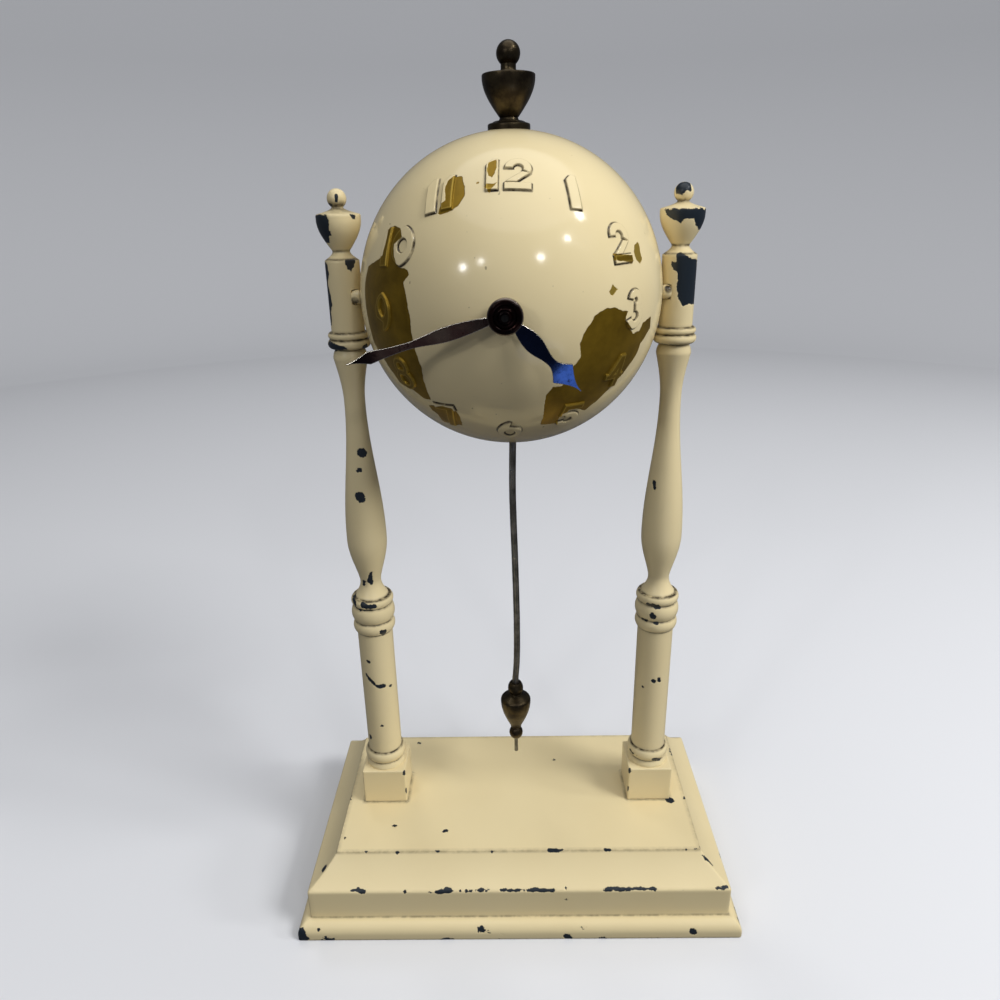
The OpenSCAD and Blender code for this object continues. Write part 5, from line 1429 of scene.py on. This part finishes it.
class CLOCK_OT_stage(bpy.types.Operator):
    """Lays the pale floor, hangs the soft lights and sets the camera"""
    bl_idname = "clock.stage"
    bl_label = "Stage"

    def execute(self, context):
        self.paper()
        for lamp in STUDIO_LIGHTS:
            self.lamp(*lamp)
        world = context.scene.world or bpy.data.worlds.new("studio")
        context.scene.world = world
        world.use_nodes = True
        background = world.node_tree.nodes["Background"]
        connect(background, {"Color": hex_linear(SKY_TINT), "Strength": SKY_STRENGTH})
        context.scene.view_settings.view_transform = "Standard"
        self.camera(context)
        return {"FINISHED"}

    def paper(self):
        """The floor and the backdrop, which the pieces neither mirror nor take light from."""
        bend = arc((FLOOR_REACH, BACKDROP_BEND), BACKDROP_BEND, -90, 0, 16)
        floor = turned("studio_floor", [(0, 0), bend[0]], 96)
        backdrop = turned("studio_backdrop", bend + [(bend[-1][0], BACKDROP_TOP)], 96)
        backdrop.visible_shadow = False
        for sheet in (floor, backdrop):
            only(sheet)
            bpy.ops.object.shade_smooth_by_angle(angle=math.radians(40))
            coat(sheet, material_for("studio_paper"))
            sheet.visible_diffuse = False
            sheet.visible_glossy = False

    def lamp(self, name, at, size, power, tint, plain, shine):
        """A round lamp that points at the clock, or straight up if it gives shine alone."""
        bpy.ops.object.select_all(action="DESELECT")
        bpy.ops.object.light_add(type="AREA", location=at)
        light = bpy.context.active_object
        light.name = light.data.name = name
        light.data.shape = "DISK"
        light.data.size = size
        light.data.energy = power
        light.data.color = hex_linear(tint)[:3]
        light.visible_diffuse = plain
        light.visible_glossy = shine
        aim = Vector(LIT_PLACE) if plain else Vector((at[0], at[1], 1.0))
        light.rotation_euler = (aim - Vector(at)).to_track_quat("-Z", "Y").to_euler()

    def camera(self, context):
        """A camera in front of the clock, a little above it, looking down on the base."""
        pitch, yaw, roll = (math.radians(turn) for turn in (CAMERA_PITCH, CAMERA_YAW, CAMERA_ROLL))
        level = Vector((math.cos(yaw), -math.sin(yaw), 0))
        ahead = Vector((math.sin(yaw) * math.cos(pitch), math.cos(yaw) * math.cos(pitch), -math.sin(pitch)))
        over = level.cross(ahead)
        right = level * math.cos(roll) + over * math.sin(roll)
        up = over * math.cos(roll) - level * math.sin(roll)
        bpy.ops.object.select_all(action="DESELECT")
        bpy.ops.object.camera_add()
        camera = bpy.context.active_object
        camera.name = camera.data.name = "photo_camera"
        camera.data.sensor_width = SENSOR_MM
        camera.data.lens = SENSOR_MM * FOCAL_PIXELS / PICTURE_PIXELS
        camera.data.clip_start = 0.01
        turn = Matrix((right, up, -ahead)).transposed()
        camera.matrix_world = Matrix.Translation(Vector(CAMERA_AT) * MM) @ turn.to_4x4()
        context.scene.camera = camera


class CLOCK_PT_sidebar(bpy.types.Panel):
    """Lists the steps that build the clock"""
    bl_idname = "CLOCK_PT_sidebar"
    bl_label = "Ball Pendulum Clock"
    bl_space_type = "VIEW_3D"
    bl_region_type = "UI"
    bl_category = "Clock"

    def draw(self, context):
        for step in STEPS:
            self.layout.operator(step.bl_idname)
        for group in GROUPS:
            box = self.layout.box()
            values = getattr(context.scene, group)
            for name in values.__annotations__:
                box.prop(values, name)


STEPS = (CLOCK_OT_stage, CLOCK_OT_movement, CLOCK_OT_base, CLOCK_OT_columns, CLOCK_OT_front_shell,
         CLOCK_OT_rear_shell, CLOCK_OT_pivots, CLOCK_OT_finial, CLOCK_OT_hands, CLOCK_OT_hand_nut,
         CLOCK_OT_pendulum, CLOCK_OT_key)
GROUPS = {"clock_stand": ClockStandSizes, "clock_ball": ClockBallSizes, "clock_hands": ClockHandSizes,
          "clock_finishes": ClockFinishes}


def register():
    """Registers the classes and hangs the property groups on the scene."""
    for group in GROUPS.values():
        bpy.utils.register_class(group)
    for name, group in GROUPS.items():
        setattr(bpy.types.Scene, name, bpy.props.PointerProperty(type=group))
    for step in STEPS + (CLOCK_PT_sidebar,):
        bpy.utils.register_class(step)


def unregister():
    """Takes the classes and the property groups off again."""
    for step in reversed(STEPS + (CLOCK_PT_sidebar,)):
        bpy.utils.unregister_class(step)
    for name, group in GROUPS.items():
        delattr(bpy.types.Scene, name)
        bpy.utils.unregister_class(group)


def main():
    """Builds the whole clock."""
    register()
    bpy.ops.clock.stage()
    bpy.ops.clock.movement()
    bpy.ops.clock.base()
    bpy.ops.clock.columns()
    bpy.ops.clock.front_shell()
    bpy.ops.clock.rear_shell()
    bpy.ops.clock.pivots()
    bpy.ops.clock.finial()
    bpy.ops.clock.hands()
    bpy.ops.clock.hand_nut()
    bpy.ops.clock.pendulum()
    bpy.ops.clock.key()


if __name__ == "__main__":
    main()
